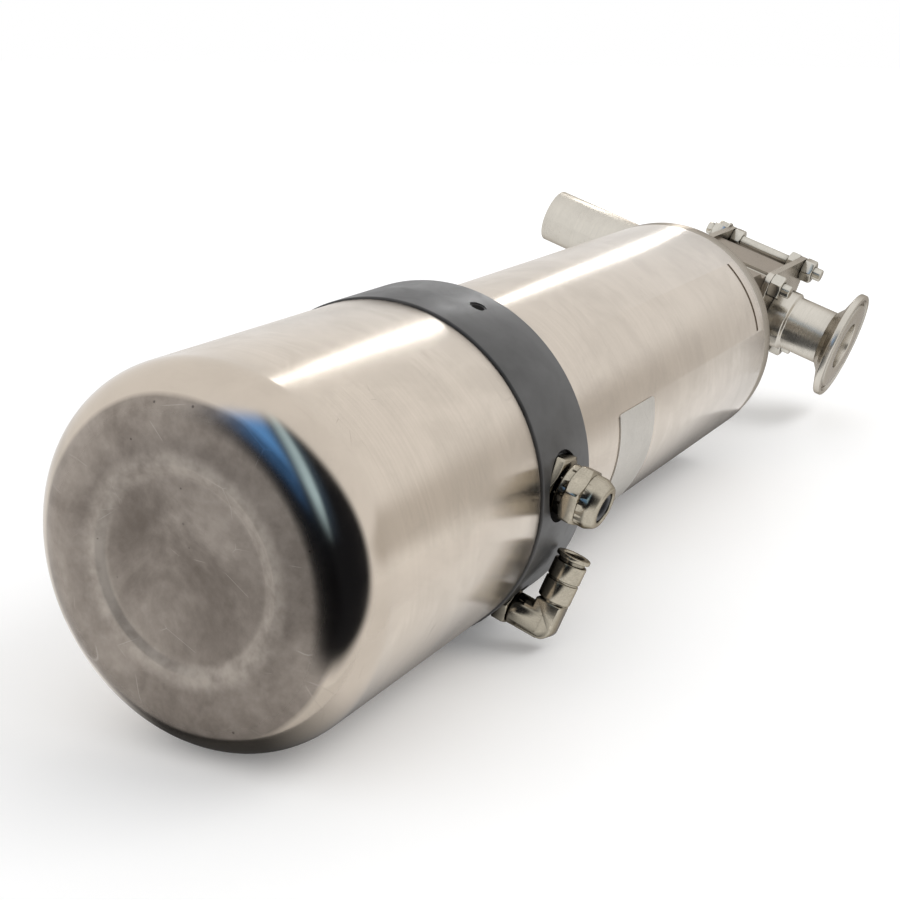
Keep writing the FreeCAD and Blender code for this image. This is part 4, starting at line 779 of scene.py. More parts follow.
def make_label():
    """The bare identification plate: foil bent round the barrel, with rounded corners."""
    start, end = LABEL_SPAN
    reach = BARREL_RADIUS * math.radians(LABEL_HALF_ANGLE)
    corner = 1.5
    corners = [(start, -reach, corner), (end, -reach, corner), (end, reach, corner)]
    outline = rounded(corners + [(start, reach, corner)])
    shape = bmesh.new()
    layers = []
    for lift in (0.0, 0.5):
        layers.append([shape.verts.new((x, along, lift)) for x, along in outline])
    shape.faces.new(layers[0])
    shape.faces.new(reversed(layers[1]))
    for near in range(len(outline)):
        far = (near + 1) % len(outline)
        shape.faces.new([layers[0][near], layers[0][far], layers[1][far], layers[1][near]])
    along = -reach + 1.0
    while along < reach:
        everything = shape.verts[:] + shape.edges[:] + shape.faces[:]
        bmesh.ops.bisect_plane(shape, geom=everything, plane_co=(0, along, 0), plane_no=(0, 1, 0))
        along += 1.0
    for vertex in shape.verts:
        angle = vertex.co.y / BARREL_RADIUS
        radius = BARREL_RADIUS + vertex.co.z
        vertex.co = Vector((vertex.co.x, -radius * math.cos(angle), radius * math.sin(angle)))
    label = finished("identification_plate", shape, label_foil)
    eased(label, 0.12, angle=50)
    return stand_for(label, "label_foil", "label_plate")


def make_gland_base():
    """The gland's hexagon body, with its thread down into the head and up into the clamping nut."""
    base = hexagon_piece("gland_base", 17.5, WASHER_END, GLAND_BASE_END, fitting_nickel, GLAND_BORE,
                         GLAND, corner_turn=48.0)
    thread_radius = 6.0
    thread = [
        (GLAND_SEAT - 9.5, GLAND_BORE, 0.3),
        (GLAND_SEAT - 9.5, thread_radius, 0.8),
        (GLAND_BASE_END + 5.5, thread_radius, 0.5),
        (GLAND_BASE_END + 5.5, GLAND_BORE, 0),
    ]
    neck = turned_piece("gland_thread", thread, fitting_nickel, GLAND, 64)
    cut_by(base, neck, operation="UNION")
    return stand_for(base, "fitting_nickel", "gland_body")


def make_gland_washer():
    """The rubber washer between the gland and its spot face."""
    bore, radius = 6.05, 8.9
    seat = [
        (GLAND_SEAT, bore, 0),
        (GLAND_SEAT, radius, 0.25),
        (WASHER_END, radius, 0.25),
        (WASHER_END, bore, 0),
    ]
    washer = turned_piece("gland_seal", seat, seal_rubber, GLAND)
    return stand_for(washer, "seal_rubber", "gland_washer")


def make_gland_nut():
    """The domed clamping nut: a plain collar, a hexagon and the dome that the cable goes in by."""
    nut = hexagon_piece("gland_clamp", 17.0, COLLAR_END, CLAMP_END, fitting_nickel, GLAND_BORE,
                        GLAND, corner_turn=30.0)
    thread_bore, collar_radius, dome_radius = 6.05, 8.0, 8.1
    collar = [
        (GLAND_BASE_END + 1, thread_bore, 0),
        (GLAND_BASE_END + 1, collar_radius, 0.5),
        (COLLAR_END + 0.6, collar_radius, 0),
        (COLLAR_END + 0.6, thread_bore, 0),
    ]
    dome = [
        (CLAMP_END - 0.6, GLAND_BORE, 0),
        (CLAMP_END - 0.6, dome_radius, 0),
        (CLAMP_END + 3.0, dome_radius, 2.5),
        (DOME_END, 6.6, 1.6),
        (DOME_END, GLAND_BORE, 0.5),
    ]
    collar_piece = turned_piece("clamp_collar", collar, fitting_nickel, GLAND, 72)
    dome_piece = turned_piece("clamp_dome", dome, fitting_nickel, GLAND, 72)
    cut_by(nut, collar_piece, dome_piece, operation="UNION")
    return stand_for(nut, "fitting_nickel", "gland_nut")


def make_gland_insert():
    """The rubber ring that the nut presses round the cable."""
    end, length, bore, radius = DOME_END - 0.6, 13.5, 3.06, 4.66
    rubber = [
        (end - length, bore, 0.3),
        (end - length, radius, 0.3),
        (end, radius, 0.5),
        (end, bore, 0.6),
    ]
    insert = turned_piece("gland_rubber_ring", rubber, gland_rubber, GLAND, 64)
    return stand_for(insert, "gland_rubber", "gland_insert")


def make_elbow_stem():
    """The elbow's stem: a thread into the head, a hexagon and the neck that the elbow turns on."""
    bore, thread_radius, neck_radius = 2.1, 4.8, 3.5
    stem = hexagon_piece("stem_hexagon", 11.0, ELBOW_SEAT, STEM_END, fitting_nickel, bore, STEM,
                         corner_turn=30.0)
    thread = [
        (ELBOW_SEAT - 10, bore, 0.3),
        (ELBOW_SEAT - 10, thread_radius, 0.8),
        (ELBOW_SEAT + 0.5, thread_radius, 0),
        (ELBOW_SEAT + 0.5, neck_radius, 0),
        (STEM_END + 5, neck_radius, 0.3),
        (STEM_END + 5, bore, 0),
    ]
    cut_by(stem, turned_piece("stem_thread", thread, fitting_nickel, STEM, 48), operation="UNION")
    return stand_for(stem, "fitting_nickel", "elbow_stem")


def make_elbow_body():
    """The elbow that swivels on the stem: a round hub, a square corner and a grooved sleeve."""
    half, foot, top, sleeve_radius = ELBOW_HALF, SLEEVE_FOOT, SLEEVE_TOP, 5.2
    hub_start = STEM_END + SWIVEL.y + 0.3
    groove = (foot + top) / 2
    block_outline = [
        (hub_start + 3, -half, 0),
        (half, -half, 3.4),
        (half, foot - 0.5, 0),
        (-half, foot - 0.5, 0),
        (-half, half, 0),
        (hub_start + 3, half, 0),
    ]
    body = block("elbow_shell", block_outline, -half, half, fitting_nickel, ELBOW)
    eased(body, 0.7, segments=3)
    hub = [
        (hub_start, 0, 0),
        (hub_start, sleeve_radius, 0.5),
        (0, sleeve_radius, 0),
        (0, 0, 0),
    ]
    sleeve = [
        (0, 0, 0),
        (0, half - 0.2, 0),
        (foot, half - 0.2, 0),
        (foot, sleeve_radius, 0.5),
        (groove, sleeve_radius, 0.15),
        (groove + 0.2, sleeve_radius - 0.45, 0.1),
        (groove + 0.7, sleeve_radius - 0.45, 0.1),
        (groove + 0.9, sleeve_radius, 0.15),
        (top, sleeve_radius, 0.4),
        (top, 0, 0),
    ]
    hub_piece = turned_piece("elbow_hub", hub, fitting_nickel, ELBOW, 64)
    sleeve_piece = turned_piece("elbow_sleeve", sleeve, fitting_nickel, SLEEVE, 64)
    cut_by(body, hub_piece, sleeve_piece, operation="UNION")
    cut_by(
        body,
        cylinder("swivel_bore", 3.55, hub_start - 1, STEM_END + SWIVEL.y + 5.3, ELBOW, 48),
        cylinder("air_bore", 2.1, -8, 0.5, ELBOW, 48),
        cylinder("tube_bore", 3.1, top - 13.5, top + 1, SLEEVE, 48),
        cylinder("sleeve_air_bore", 2.1, -0.5, top, SLEEVE, 48),
        cylinder("collar_bore", 4.25, top - 7, top + 1, SLEEVE, 48),
    )
    return stand_for(body, "fitting_nickel", "elbow_body", body="elbow_fitting")


def make_release_collar():
    """The ring round the tube's mouth that is pressed in to let a tube go."""
    start, flange = SLEEVE_TOP - 5, SLEEVE_TOP + 1.2
    bore, shank_radius, flange_radius = 3.1, 4.2, 5.4
    ring = [
        (start, bore, 0.2),
        (start, shank_radius, 0.3),
        (flange, shank_radius, 0),
        (flange, flange_radius, 0.3),
        (flange + 1.3, flange_radius, 0.4),
        (flange + 1.3, 3.5, 0.3),
        (flange + 0.8, bore, 0.2),
    ]
    collar = turned_piece("release_ring_collar", ring, fitting_nickel, SLEEVE, 64)
    return stand_for(collar, "fitting_nickel", "release_collar", body="release_ring")


def make_pinch_body():
    """The pinch body: a milled bar with a round end, bored for the rod and for the hose."""
    half_trunk, half, depth = 26.0, 23.0, 17.5
    taper_start = TRUNK_START + 43
    end = PINCH + half
    outline = [
        (TRUNK_START, -half_trunk, 0),
        (taper_start, -half_trunk, 2),
        (taper_start + 6, -half, 2),
        (end, -half, half),
        (end, half, half),
        (taper_start + 6, half, 2),
        (taper_start, half_trunk, 2),
        (TRUNK_START, half_trunk, 0),
    ]
    body = block("body_bar", outline, -depth, depth, body_steel)
    cavity_start, cavity = 305.2, 21.0
    chamber = [
        (cavity_start, -cavity, 0),
        (PINCH + cavity, -cavity, cavity),
        (PINCH + cavity, cavity, cavity),
        (cavity_start, cavity, 0),
    ]
    cut_by(
        body,
        block("chamber", chamber, -11.5, 11.5, cutter_finish),
        cylinder("stem_bore", STEM_BORE, TRUNK_START - 1, 285.2),
        cylinder("hub_bore", 11.6, 285, cavity_start + 1),
        cylinder("hose_hole", 12.65, -depth - 1, depth + 1, TO_PIPE),
        cylinder("front_recess", 16.05, depth - 3, depth + 1, TO_PIPE),
        cylinder("back_recess", 16.05, -depth - 1, 3 - depth, TO_PIPE),
    )
    slot = 3.3
    for side in (-1, 1):
        centre = moved(PINCH - TIE_PITCH_X / 2, 0, side * TIE_PITCH_Z / 2)
        groove = cylinder("bolt_groove", slot, -depth - 1, depth + 1, centre @ PIPE_SIDE)
        opening = [(-slot, 0, 0), (slot, 0, 0), (slot, side * 12, 0), (-slot, side * 12, 0)]
        mouth = block("groove_mouth", opening, -depth - 1, depth + 1, cutter_finish, centre)
        cut_by(body, groove, mouth)
    eased(body, 0.5, angle=50)
    return stand_for(body, "body_steel", "pinch_body")


def make_body_flange():
    """The round foot that the pinch body stands on."""
    radius = 34
    flange = [
        (BODY_START, STEM_BORE, 0.3),
        (BODY_START, radius, 0.3),
        (TRUNK_START, radius, 1.2),
        (TRUNK_START, STEM_BORE, 0.3),
    ]
    foot = turned_piece("body_foot", flange, body_steel, sides=160)
    return stand_for(foot, "body_steel", "body_flange")


def make_clamped_plate(name, side, way, node_name):
    """One of the two plates that the tie bolts clamp on the pinch body, bored for its pipe."""
    corner, hole = 5.2, 3.3
    half_x, half_z = TIE_PITCH_X / 2 + corner, TIE_PITCH_Z / 2 + corner
    outline = [(x * half_x, z * half_z, corner) for x, z in ((-1, -1), (1, -1), (1, 1), (-1, 1))]
    middle = moved(PINCH, 0, 0)
    plate = block(name, outline, side * PLATE_IN, side * PLATE_OUT, pipe_steel, middle)
    start, end = PLATE_IN - 1, PLATE_OUT + 1
    cut_by(plate, cylinder("pipe_hole", SPIGOT_RADIUS + 0.05, start, end, middle @ way))
    for column in (-1, 1):
        for row in (-1, 1):
            at = moved(PINCH + column * TIE_PITCH_X / 2, 0, row * TIE_PITCH_Z / 2) @ way
            cut_by(plate, cylinder("tie_hole", hole, start, end, at, 32))
    eased(plate, 0.3, angle=50)
    return stand_for(plate, "pipe_steel", node_name)


def make_plain_pipe():
    """The plain pipe end, with the spigot that sits in its plate."""
    plain = [
        (PLATE_IN, PIPE_BORE, 0),
        (PLATE_IN, SPIGOT_RADIUS, 0.2),
        (PLATE_OUT, SPIGOT_RADIUS, 0),
        (PLATE_OUT, PIPE_RADIUS, 0.3),
        (PIPE_END, PIPE_RADIUS, 0.3),
        (PIPE_END, PIPE_BORE, 0.3),
    ]
    pipe = turned_piece("plain_stub", plain, pipe_steel, TO_PIPE, 160)
    return stand_for(pipe, "pipe_steel", "plain_end_pipe")


def make_clamp_pipe():
    """The short pipe between the other plate and the ferrule, with a thicker collar at the plate."""
    collar_radius = 14.0
    stub = [
        (PLATE_IN, PIPE_BORE, 0),
        (PLATE_IN, SPIGOT_RADIUS, 0.2),
        (PLATE_OUT, SPIGOT_RADIUS, 0),
        (PLATE_OUT, collar_radius, 0.4),
        (PLATE_OUT + 9, collar_radius, 0.8),
        (PLATE_OUT + 10, PIPE_RADIUS, 0.8),
        (FERRULE_NECK, PIPE_RADIUS, 0),
        (FERRULE_NECK, PIPE_BORE, 0),
    ]
    pipe = turned_piece("clamp_stub", stub, pipe_steel, TO_FERRULE, 160)
    return stand_for(pipe, "pipe_steel", "clamp_end_pipe")


def make_ferrule():
    """The clamp ferrule: a flared neck, a rim and the groove for its gasket."""
    rim_radius, rim_start = 25.25, FERRULE_FACE - 2.85
    groove_out, groove_in, groove_floor = 23.1, 20.3, FERRULE_FACE - 1.2
    turned = [
        (FERRULE_NECK, PIPE_BORE, 0),
        (FERRULE_NECK, PIPE_RADIUS, 0),
        (FERRULE_NECK + 3, 16.5, 2.5),
        (rim_start, rim_radius, 0.7),
        (FERRULE_FACE, rim_radius, 0.6),
        (FERRULE_FACE, groove_out, 0.2),
        (groove_floor, groove_out - 0.5, 0.7),
        (groove_floor, groove_in + 0.5, 0.7),
        (FERRULE_FACE, groove_in, 0.2),
        (FERRULE_FACE, PIPE_BORE, 0.3),
    ]
    ferrule = turned_piece("ferrule_flange", turned, pipe_steel, TO_FERRULE, 192)
    return stand_for(ferrule, "pipe_steel", "clamp_ferrule")


LOOSE = VALVE.inverted() @ ROLLED @ Matrix.Scale(MM, 4)  # at the origin, turned as the valve is
ALONG_X, ALONG_Y, ALONG_Z = [VALVE.to_3x3() @ Vector(way) for way in ((1, 0, 0), (0, 1, 0), (0, 0, 1))]


def new_tree(name, inputs):
    """A geometry node group with named inputs: (tree, graph, inputs' sockets, output)."""
    tree = bpy.data.node_groups.new(name, "GeometryNodeTree")
    tree.interface.new_socket("Geometry", in_out="OUTPUT", socket_type="NodeSocketGeometry")
    for label, kind in inputs:
        tree.interface.new_socket(label, in_out="INPUT", socket_type="NodeSocket" + kind)
    graph = Graph(tree)
    return tree, graph, graph.add("NodeGroupInput").outputs, graph.add("NodeGroupOutput").inputs[0]


def end_tree(graph, instances, finish, end):
    """Make instances real, give them their finish and lead them out of a tree."""
    real = graph.add("GeometryNodeRealizeInstances", {0: instances}).outputs[0]
    coated = graph.add("GeometryNodeSetMaterial", {0: real, "Material": finish}).outputs[0]
    graph.tree.links.new(coated, end)


def make_bolt_pattern():
    """Rows and columns of one fastener, each turned about its own axis as it was tightened."""
    inputs = [("Geometry", "Geometry"), ("First", "Vector"), ("Columns", "Int")]
    inputs += [("Column Step", "Vector"), ("Rows", "Int"), ("Row Step", "Vector")]
    inputs += [("Axis", "Vector"), ("Most Turn", "Float"), ("Seed", "Int"), ("Finish", "Material")]
    tree, graph, given, end = new_tree("bolt_pattern", inputs)
    line = {"Count": given["Columns"], "Start Location": given["First"], "Offset": given["Column Step"]}
    column = graph.add("GeometryNodeMeshLine", line).outputs[0]
    line = {"Count": given["Rows"], "Offset": given["Row Step"]}
    row = graph.add("GeometryNodeMeshLine", line).outputs[0]
    places = graph.add("GeometryNodeInstanceOnPoints", {"Points": column, "Instance": row}).outputs[0]
    places = graph.add("GeometryNodeRealizeInstances", {0: places}).outputs[0]
    chance = {"Max": given["Most Turn"], "Seed": given["Seed"]}
    turn = graph.add("FunctionNodeRandomValue", chance).outputs[1]
    about = {"Axis": given["Axis"], "Angle": turn}
    turn = graph.add("FunctionNodeAxisAngleToRotation", about).outputs[0]
    fastener = {"Points": places, "Instance": given["Geometry"], "Rotation": turn}
    placed = graph.add("GeometryNodeInstanceOnPoints", fastener).outputs[0]
    end_tree(graph, placed, given["Finish"], end)
    return tree


def run_tree(piece, tree, **values):
    """Let a node tree remake a piece's mesh once, with its inputs set by name."""
    step = piece.modifiers.new(tree.name, "NODES")
    step.node_group = tree
    for socket in tree.interface.items_tree:
        label = socket.name.replace(" ", "_").lower()
        if socket.in_out == "INPUT" and label in values:
            step[socket.identifier] = values[label]
    bpy.context.view_layer.update()
    return applied(piece)


BOLT_PATTERN = make_bolt_pattern()


def spaced(piece, first, columns, rows, axis, seed):
    """Repeat a fastener made at the origin: columns and rows are (count, step)."""
    sixth = math.pi / 3
    run_tree(piece, BOLT_PATTERN, first=VALVE @ Vector(first), columns=columns[0],
             column_step=columns[1], rows=rows[0], row_step=rows[1], axis=axis.normalized(),
             most_turn=sixth, seed=seed, finish=piece.data.materials[0])
    shaded(piece.data)
    return piece


# Fasteners are made at the origin, turned as the valve is, before they are spaced
LOOSE_TIE = LOOSE @ PIPE_SIDE
TIE_FLATS, TIE_NUT = 10.0, 5.5
TIE_SEAT = PLATE_OUT + 1.0
TIE_FIRST = (PINCH - TIE_PITCH_X / 2, 0, -TIE_PITCH_Z / 2)
TIE_COLUMNS, TIE_ROWS = (2, ALONG_X * TIE_PITCH_X), (2, ALONG_Z * TIE_PITCH_Z)


def make_tie_bolts():
    """Four long bolts through both plates, with their heads on the plain pipe's side."""
    head, tail, beyond, radius = 6.0, 4.0, 3.5, 3
    end = -PLATE_OUT - TIE_NUT - tail
    bolt = hexagon_piece("tie_bolt_row", TIE_FLATS, TIE_SEAT, TIE_SEAT + head, screw_steel, 2.0,
                         LOOSE_TIE, chamfers=(False, True))
    top = TIE_SEAT + head + beyond
    shank = [(end, 0, 0), (end, radius, 0.6), (top, radius, 0.6), (top, 0, 0)]
    cut_by(bolt, turned_piece("tie_shank", shank, screw_steel, LOOSE_TIE, 40), operation="UNION")
    spaced(bolt, TIE_FIRST, TIE_COLUMNS, TIE_ROWS, ALONG_Y, 3)
    return stand_for(bolt, "screw_steel", "tie_bolts")


def make_tie_washers():
    """A washer under each tie bolt's head."""
    hole, radius = 3.3, 6.2
    disc = [
        (PLATE_OUT, hole, 0),
        (PLATE_OUT, radius, 0.2),
        (TIE_SEAT, radius, 0.35),
        (TIE_SEAT, hole, 0.2),
    ]
    washers = turned_piece("tie_washer_row", disc, screw_steel, LOOSE_TIE, 48)
    spaced(washers, TIE_FIRST, TIE_COLUMNS, TIE_ROWS, ALONG_Y, 4)
    return stand_for(washers, "screw_steel", "tie_bolt_washers")


def make_tie_nuts():
    """The outer nuts, on the ferrule's side."""
    nuts = hexagon_piece("tie_nut_row", TIE_FLATS, -PLATE_OUT - TIE_NUT, -PLATE_OUT, screw_steel, 3.05,
                         LOOSE_TIE)
    spaced(nuts, TIE_FIRST, TIE_COLUMNS, TIE_ROWS, ALONG_Y, 11)
    return stand_for(nuts, "screw_steel", "tie_bolt_nuts")


def make_lock_nuts():
    """Thin nuts inside the plates, on the two bolts beyond the pinch body's end."""
    height = 5
    lock = hexagon_piece("lock_nut_row", TIE_FLATS, -PLATE_IN, -PLATE_IN + height, screw_steel, 3.05,
                         LOOSE_TIE)
    far = (PINCH + TIE_PITCH_X / 2, 0, -TIE_PITCH_Z / 2)
    columns = (2, ALONG_Y * (2 * PLATE_IN - height))
    spaced(lock, far, columns, TIE_ROWS, ALONG_Y, 7)
    return stand_for(lock, "screw_steel", "inner_lock_nuts")


def make_body_screws():
    """Four socket cap screws that hold the pinch body's foot on the end plate."""
    start, length, radius, shank = TRUNK_START, 6.0, 5.0, 3.0
    head = [
        (start - 14, 0, 0),
        (start - 14, shank, 0.5),
        (start, shank, 0),
        (start, radius, 0.2),
        (start + length, radius, 0.6),
        (start + length, 0, 0),
    ]
    screw = turned_piece("body_screw_row", head, screw_steel, LOOSE, 48)
    end = start + length
    cut_by(screw, hexagon_piece("socket", 5.0, end - 3, end + 1, cutter_finish, 0, LOOSE))
    across, up = 25.5, 14.0
    columns, rows = (2, ALONG_Y * 2 * across), (2, ALONG_Z * 2 * up)
    spaced(screw, (0, -across, -up), columns, rows, ALONG_X, 5)
    stand_for(screw, "screw_steel", "body_screws")


def make_anvil_screw():
    """The socket cap screw that holds the fixed bar in the pinch body's round end."""
    seat = PINCH + 23
    head = [(seat, 0, 0), (seat, 4.2, 0.2), (seat + 4, 4.2, 0.5), (seat + 4, 0, 0)]
    screw = turned_piece("anvil_screw", head, screw_steel, sides=48)
    shank = [(PINCH + 14.4, 0, 0), (PINCH + 14.4, 2.5, 0.3), (seat + 1, 2.5, 0), (seat + 1, 0, 0)]
    cut_by(screw, turned_piece("anvil_shank", shank, screw_steel, sides=32), operation="UNION")
    cut_by(screw, hexagon_piece("anvil_socket", 3.0, seat + 1.8, seat + 5, cutter_finish, 0))
    stand_for(screw, "screw_steel", "fixed_bar_screw")


def make_coil():
    """A round wire wound into an open coil along z."""
    inputs = [("Geometry", "Geometry"), ("Turns", "Float"), ("Radius", "Float"), ("Length", "Float")]
    inputs += [("Wire Radius", "Float"), ("Finish", "Material")]
    tree, graph, given, end = new_tree("coil", inputs)
    spiral = {"Resolution": 72, "Rotations": given["Turns"], "Height": given["Length"]}
    spiral.update({"Start Radius": given["Radius"], "End Radius": given["Radius"]})
    path = graph.add("GeometryNodeCurveSpiral", spiral).outputs[0]
    section = {"Resolution": 16, "Radius": given["Wire Radius"]}
    wire = graph.add("GeometryNodeCurvePrimitiveCircle", section).outputs[0]
    swept = {"Curve": path, "Profile Curve": wire, "Fill Caps": True}
    wound = graph.add("GeometryNodeCurveToMesh", swept).outputs[0]
    end_tree(graph, wound, given["Finish"], end)
    return tree


def shortens(piece):
    """Give a piece its own copy of its mesh."""
    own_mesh(piece)


def make_spring():
    """The coil that pushes the piston back, between the piston and the end plate's nose."""
    seat, nose, radius, wire = 61.2, 210.8, 30.0, 2.4
    blank = in_scene("coil_blank", bpy.data.meshes.new("coil_blank"))
    run_tree(blank, make_coil(), turns=8.0, radius=radius, length=nose - seat - 2 * wire,
             wire_radius=wire, finish=spring_steel)
    shape = bmesh.new()
    shape.from_mesh(blank.data)
    bpy.data.objects.remove(blank)
    on_x = moved(seat + wire, 0, 0) @ Matrix.Rotation(math.pi / 2, 4, "Y")
    spring = finished("return_coil", shape, spring_steel, on_x)
    stand_for(spring, "spring_steel", "return_spring")
    shortens(spring)


def make_hose():
    """The hose sleeve, as short rings side by side."""
    bore, outside, collar, collar_start = 10.0, 12.6, 16.0, 14.5
    rings = [(collar_start, PLATE_IN, collar, 1.0), (-PLATE_IN, -collar_start, collar, 1.0)]
    bar_side, pinched, shares = 7.0, 0.165, 5
    rings.append((-bar_side, bar_side, outside, pinched))
    width = (collar_start - bar_side) / shares
    for share in range(shares):
        start = bar_side + share * width
        keep = pinched + (1 - pinched) * ((share + 0.5) / shares) ** 2
        rings.append((start, start + width, outside, keep))
        rings.append((-start - width, -start, outside, keep))
    for number, (start, end, radius, keep) in enumerate(sorted(rings), 1):
        corners = [(start, bore, 0), (start, radius, 0), (end, radius, 0), (end, bore, 0)]
        ring = turned_piece(f"hose_ring_{number}", corners, hose_silicone, TO_PIPE)
        stand_for(ring, "hose_silicone", "hose_sleeve")
        if keep < 1:
            shortens(ring)


make_cup()
make_head()
make_barrel()
make_end_plate()
make_retaining_wire()
make_label()
make_gland_base()
make_gland_washer()
make_gland_nut()
make_gland_insert()
make_elbow_stem()
make_elbow_body()
make_release_collar()
make_pinch_body()
make_body_flange()
make_clamped_plate("ferrule_plate", -1, FERRULE_SIDE, "clamp_end_plate")
make_clamped_plate("plain_plate", 1, PIPE_SIDE, "plain_end_plate")
make_plain_pipe()
make_clamp_pipe()
make_ferrule()
make_tie_bolts()
make_tie_washers()
make_tie_nuts()
make_lock_nuts()
make_body_screws()
make_anvil_screw()
make_spring()
make_hose()


# Studio


def panel(name, corners, material):
    """A sheet stretched from its own middle to its corners."""
    corners = [Vector(corner) for corner in corners]
    middle = sum(corners, Vector()) / len(corners)
    shape = bmesh.new()
    centre = shape.verts.new(middle)
    rim = [shape.verts.new(corner) for corner in corners]
    for one, following in zip(rim, rim[1:] + rim[:1]):
        shape.faces.new([centre, one, following])
    sheet = in_scene(name, mesh_of(name, shape, material))
    return sheet


def level_corners(start, end, right, left, height):
    """The corners of a level sheet."""
    return [(start, right, height), (end, right, height), (end, left, height), (start, left, height)]


def make_floor():
    """Pale paper: the camera sees it as white, apart from the valve's shadow."""
    level, half = cad_box[0][2] - 0.0002, 4.0
    paper = bpy.data.materials.new("pale_paper")
    paper.use_nodes = True
    graph = Graph(paper.node_tree)
    shader = paper.node_tree.nodes["Principled BSDF"]
    shader.inputs["Base Color"].default_value = (0.93, 0.93, 0.93, 1)
    shader.inputs["Roughness"].default_value = 0.9
    shader.inputs["Specular IOR Level"].default_value = 0.0
    shader.inputs["Emission Color"].default_value = (1, 1, 1, 1)
    seen = graph.add("ShaderNodeLightPath").outputs["Is Camera Ray"]
    spot = graph.add("ShaderNodeTexCoord").outputs["Object"]
    away = graph.add("ShaderNodeVectorMath", {0: spot}, operation="LENGTH").outputs["Value"]
    fade = graph.spread(away, 0.45, 1.6, 0.12, 0.4)
    graph.tree.links.new(graph.times(seen, fade), shader.inputs["Emission Strength"])
    panel("studio_floor", level_corners(-half, half, -half, half, level), paper)


def start_card(name):
    """A card's material, still without nodes, and its graph."""
    finish = bpy.data.materials.new(name)
    finish.use_nodes = True
    finish.node_tree.nodes.clear()
    return finish, Graph(finish.node_tree)


def hang_card(name, corners, finish, graph, colour, strength=1.0):
    """Hang a glowing card that only polished metal sees: it neither shades nor lights anything."""
    glow = graph.add("ShaderNodeEmission", {"Color": colour, "Strength": strength}).outputs[0]
    graph.tree.links.new(glow, graph.add("ShaderNodeOutputMaterial").inputs["Surface"])
    card = panel(name, corners, finish)
    card.visible_camera = card.visible_diffuse = card.visible_shadow = False
    card.visible_transmission = False


def make_contact_shadow_card():
    """A painted contact shadow: a dark card on the floor under the valve, seen only in reflections, so
    that the valve's lower side shows it.
    """
    level, half = cad_box[0][2] + 0.0004, 0.10
    finish, graph = start_card("contact_dark")
    x, y, z = graph.apart(graph.add("ShaderNodeTexCoord").outputs["Object"])
    across = graph.math("ABSOLUTE", graph.math("SUBTRACT", y, SEAM.y))
    # Painted shadow: darkest along the valve's middle, fading to white at the sides.
    tone = graph.spread(across, 0.015, 0.065, 0.05, 0.97, smooth=True)
    corners = level_corners(SEAM.x - 0.10, SEAM.x + 0.30, SEAM.y - half, SEAM.y + half, level)
    hang_card("contact_card", corners, finish, graph, (1, 1, 1, 1), tone)


def make_surround():
    """A white room, a little dimmer as a light than as a reflection."""
    world = bpy.data.worlds.new("studio_surround")
    world.use_nodes = True
    scene.world = world
    graph = Graph(world.node_tree)
    background = world.node_tree.nodes["Background"]
    rays = graph.add("ShaderNodeLightPath").outputs
    seen = graph.math("MAXIMUM", rays["Is Camera Ray"], rays["Is Glossy Ray"])
    seen = graph.math("MAXIMUM", seen, rays["Is Transmission Ray"])
    strength = graph.spread(seen, 0.0, 1.0, 0.9, 1.0)
    background.inputs["Color"].default_value = (1, 1, 1, 1)
    graph.tree.links.new(strength, background.inputs["Strength"])


def aimed_point(centre, azimuth, elevation, distance):
    """The point that lies in a direction, in degrees, from a centre."""
    level = math.cos(math.radians(elevation)) * distance
    across = Vector((math.cos(math.radians(azimuth)), math.sin(math.radians(azimuth)), 0)) * level
    return Vector(centre) + across + Vector((0, 0, math.sin(math.radians(elevation)) * distance))


CARD_CENTRE = Vector((-0.225, -0.058, 0.055))  # the cup's shoulder, which mirrors the cards
CARD_DISTANCE = 0.6


def card_rim(middle, reach):
    """Points round an oval card, nearer to the shoulder where it would go through the floor."""
    rim = []
    for step in range(48):
        angle = math.tau * step / 48
        azimuth = middle[0] + reach[0] * math.cos(angle)
        elevation = middle[1] + reach[1] * math.sin(angle)
        distance = CARD_DISTANCE
        if elevation < 0:
            to_floor = CARD_CENTRE.z / math.sin(math.radians(-elevation))
            distance = min(distance, 0.98 * to_floor)
        rim.append(aimed_point(CARD_CENTRE, azimuth, elevation, distance))
    return rim


def make_card(name, middle, reach, low_tone, tones, soft):
    """Hang an oval card for the steel to mirror.

    middle and reach are its (azimuth, elevation) as seen from the cup's shoulder. tones are its
    (turn, colour) from left to right, which give way to low_tone further down. Its edge fades to
    white over the share soft."""
    finish, graph = start_card(name)
    spot = graph.add("ShaderNodeTexCoord").outputs["Object"]
    away = {0: spot, 1: CARD_CENTRE}
    away = graph.add("ShaderNodeVectorMath", away, operation="SUBTRACT").outputs[0]
    turned = {"Vector": away, "Angle": math.radians(-middle[0])}
    turned = graph.add("ShaderNodeVectorRotate", turned, rotation_type="Z_AXIS").outputs[0]
    x, y, z = graph.apart(turned)
    elevation = graph.math("DEGREES", graph.math("ARCTAN2", z, graph.distance(x, y)))
    azimuth = graph.math("DEGREES", graph.math("ARCTAN2", y, x))
    ramp = graph.add("ShaderNodeValToRGB", {"Fac": graph.spread(azimuth, -reach[0], reach[0])})
    while len(ramp.color_ramp.elements) < len(tones):
        ramp.color_ramp.elements.new(1.0)
    for element, (turn, colour) in zip(ramp.color_ramp.elements, tones):
        element.position = 0.5 + 0.5 * turn / reach[0]
        element.color = (*colour, 1)
    tone = graph.blend(graph.spread(elevation, 17.0, 40.0), low_tone, ramp.outputs["Color"])
    aside = graph.math("DIVIDE", azimuth, reach[0])
    above = graph.math("DIVIDE", graph.math("SUBTRACT", elevation, middle[1]), reach[1])
    edge = graph.spread(graph.distance(aside, above), 1 - soft, 1 + 0.8 * soft, smooth=True)
    rim = card_rim(middle, [(1 + soft) * part for part in reach])
    hang_card(name, rim, finish, graph, graph.blend(edge, tone, (1, 1, 1)))


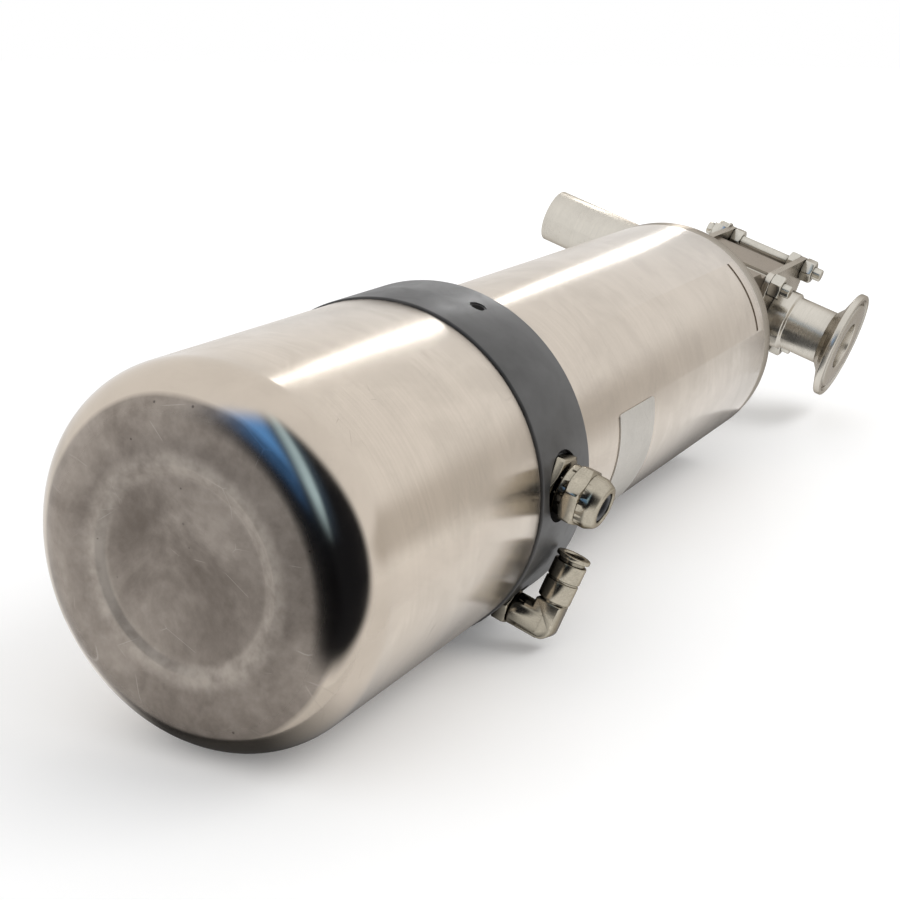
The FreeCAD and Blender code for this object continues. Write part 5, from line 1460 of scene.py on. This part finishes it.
DARK, NIGHT = (0.012, 0.013, 0.016), (0.05, 0.08, 0.13)
BLUE, SKY = (0.14, 0.42, 1.0), (0.6, 0.85, 1.0)
DIM = (0.68, 0.66, 0.63)


def make_dark_card():
    """The dark room behind the camera, with a blue streak and a pale one."""
    tones = [
        (-66, NIGHT),
        (-56, BLUE),
        (-34, BLUE),
        (-23, NIGHT),
        (-10, SKY),
        (-3, SKY),
        (5, NIGHT),
        (24, DARK),
    ]
    make_card("dark_card", (-151, 4), (66, 67), DARK, tones, 0.13)


def make_dim_card():
    """A low grey band on the ferrule's side, which the cup and the barrel show above the floor."""
    make_card("dim_card", (-40, 1), (38, 9), DIM, [(-38, DIM), (38, DIM)], 0.5)


def add_lamp(name, place, aim, size, power):
    """A soft square lamp."""
    light = bpy.data.lights.new(name, "AREA")
    light.shape = "RECTANGLE"
    light.size, light.size_y = size
    light.energy = power
    lamp = in_scene(name, light)
    lamp.location = place
    way = Vector(aim) - Vector(place)
    lamp.rotation_mode = "QUATERNION"
    lamp.rotation_quaternion = way.to_track_quat("-Z", "Y")
    return lamp


def make_lamps():
    """A narrow strip, seen as the bright line along the steel, and a window that isn't seen in it."""
    middle = (0, 0, 0.06)
    add_lamp("strip_lamp", aimed_point(middle, 15, 26, 1.6), middle, (0.07, 1.0), 1.4)
    window = add_lamp("window_lamp", (0.45, -1.1, 1.2), (0, 0, 0.05), (1.0, 0.7), 7)
    window.visible_glossy = False


def make_camera():
    """The photograph's viewing angle: from the cup's end, a little above, looking along the valve."""
    data = bpy.data.cameras.new("photo_angle")
    data.lens = 62.6
    data.sensor_width = 36.0
    camera = in_scene("photo_angle", data)
    right = Vector((0.47800, -0.87831, -0.00974))
    down = Vector((-0.24581, -0.12312, -0.96147))
    forward = Vector((0.84327, 0.46197, -0.27475))
    turn = Matrix((right, -down, -forward)).transposed().to_4x4()
    stand = VALVE @ Vector((-388.01, -176.53, 207.15))
    camera.matrix_world = Matrix.Translation(stand) @ turn
    scene.camera = camera


scene.view_settings.view_transform = "Standard"
make_floor()
make_contact_shadow_card()
make_surround()
make_dark_card()
make_dim_card()
make_lamps()
make_camera()
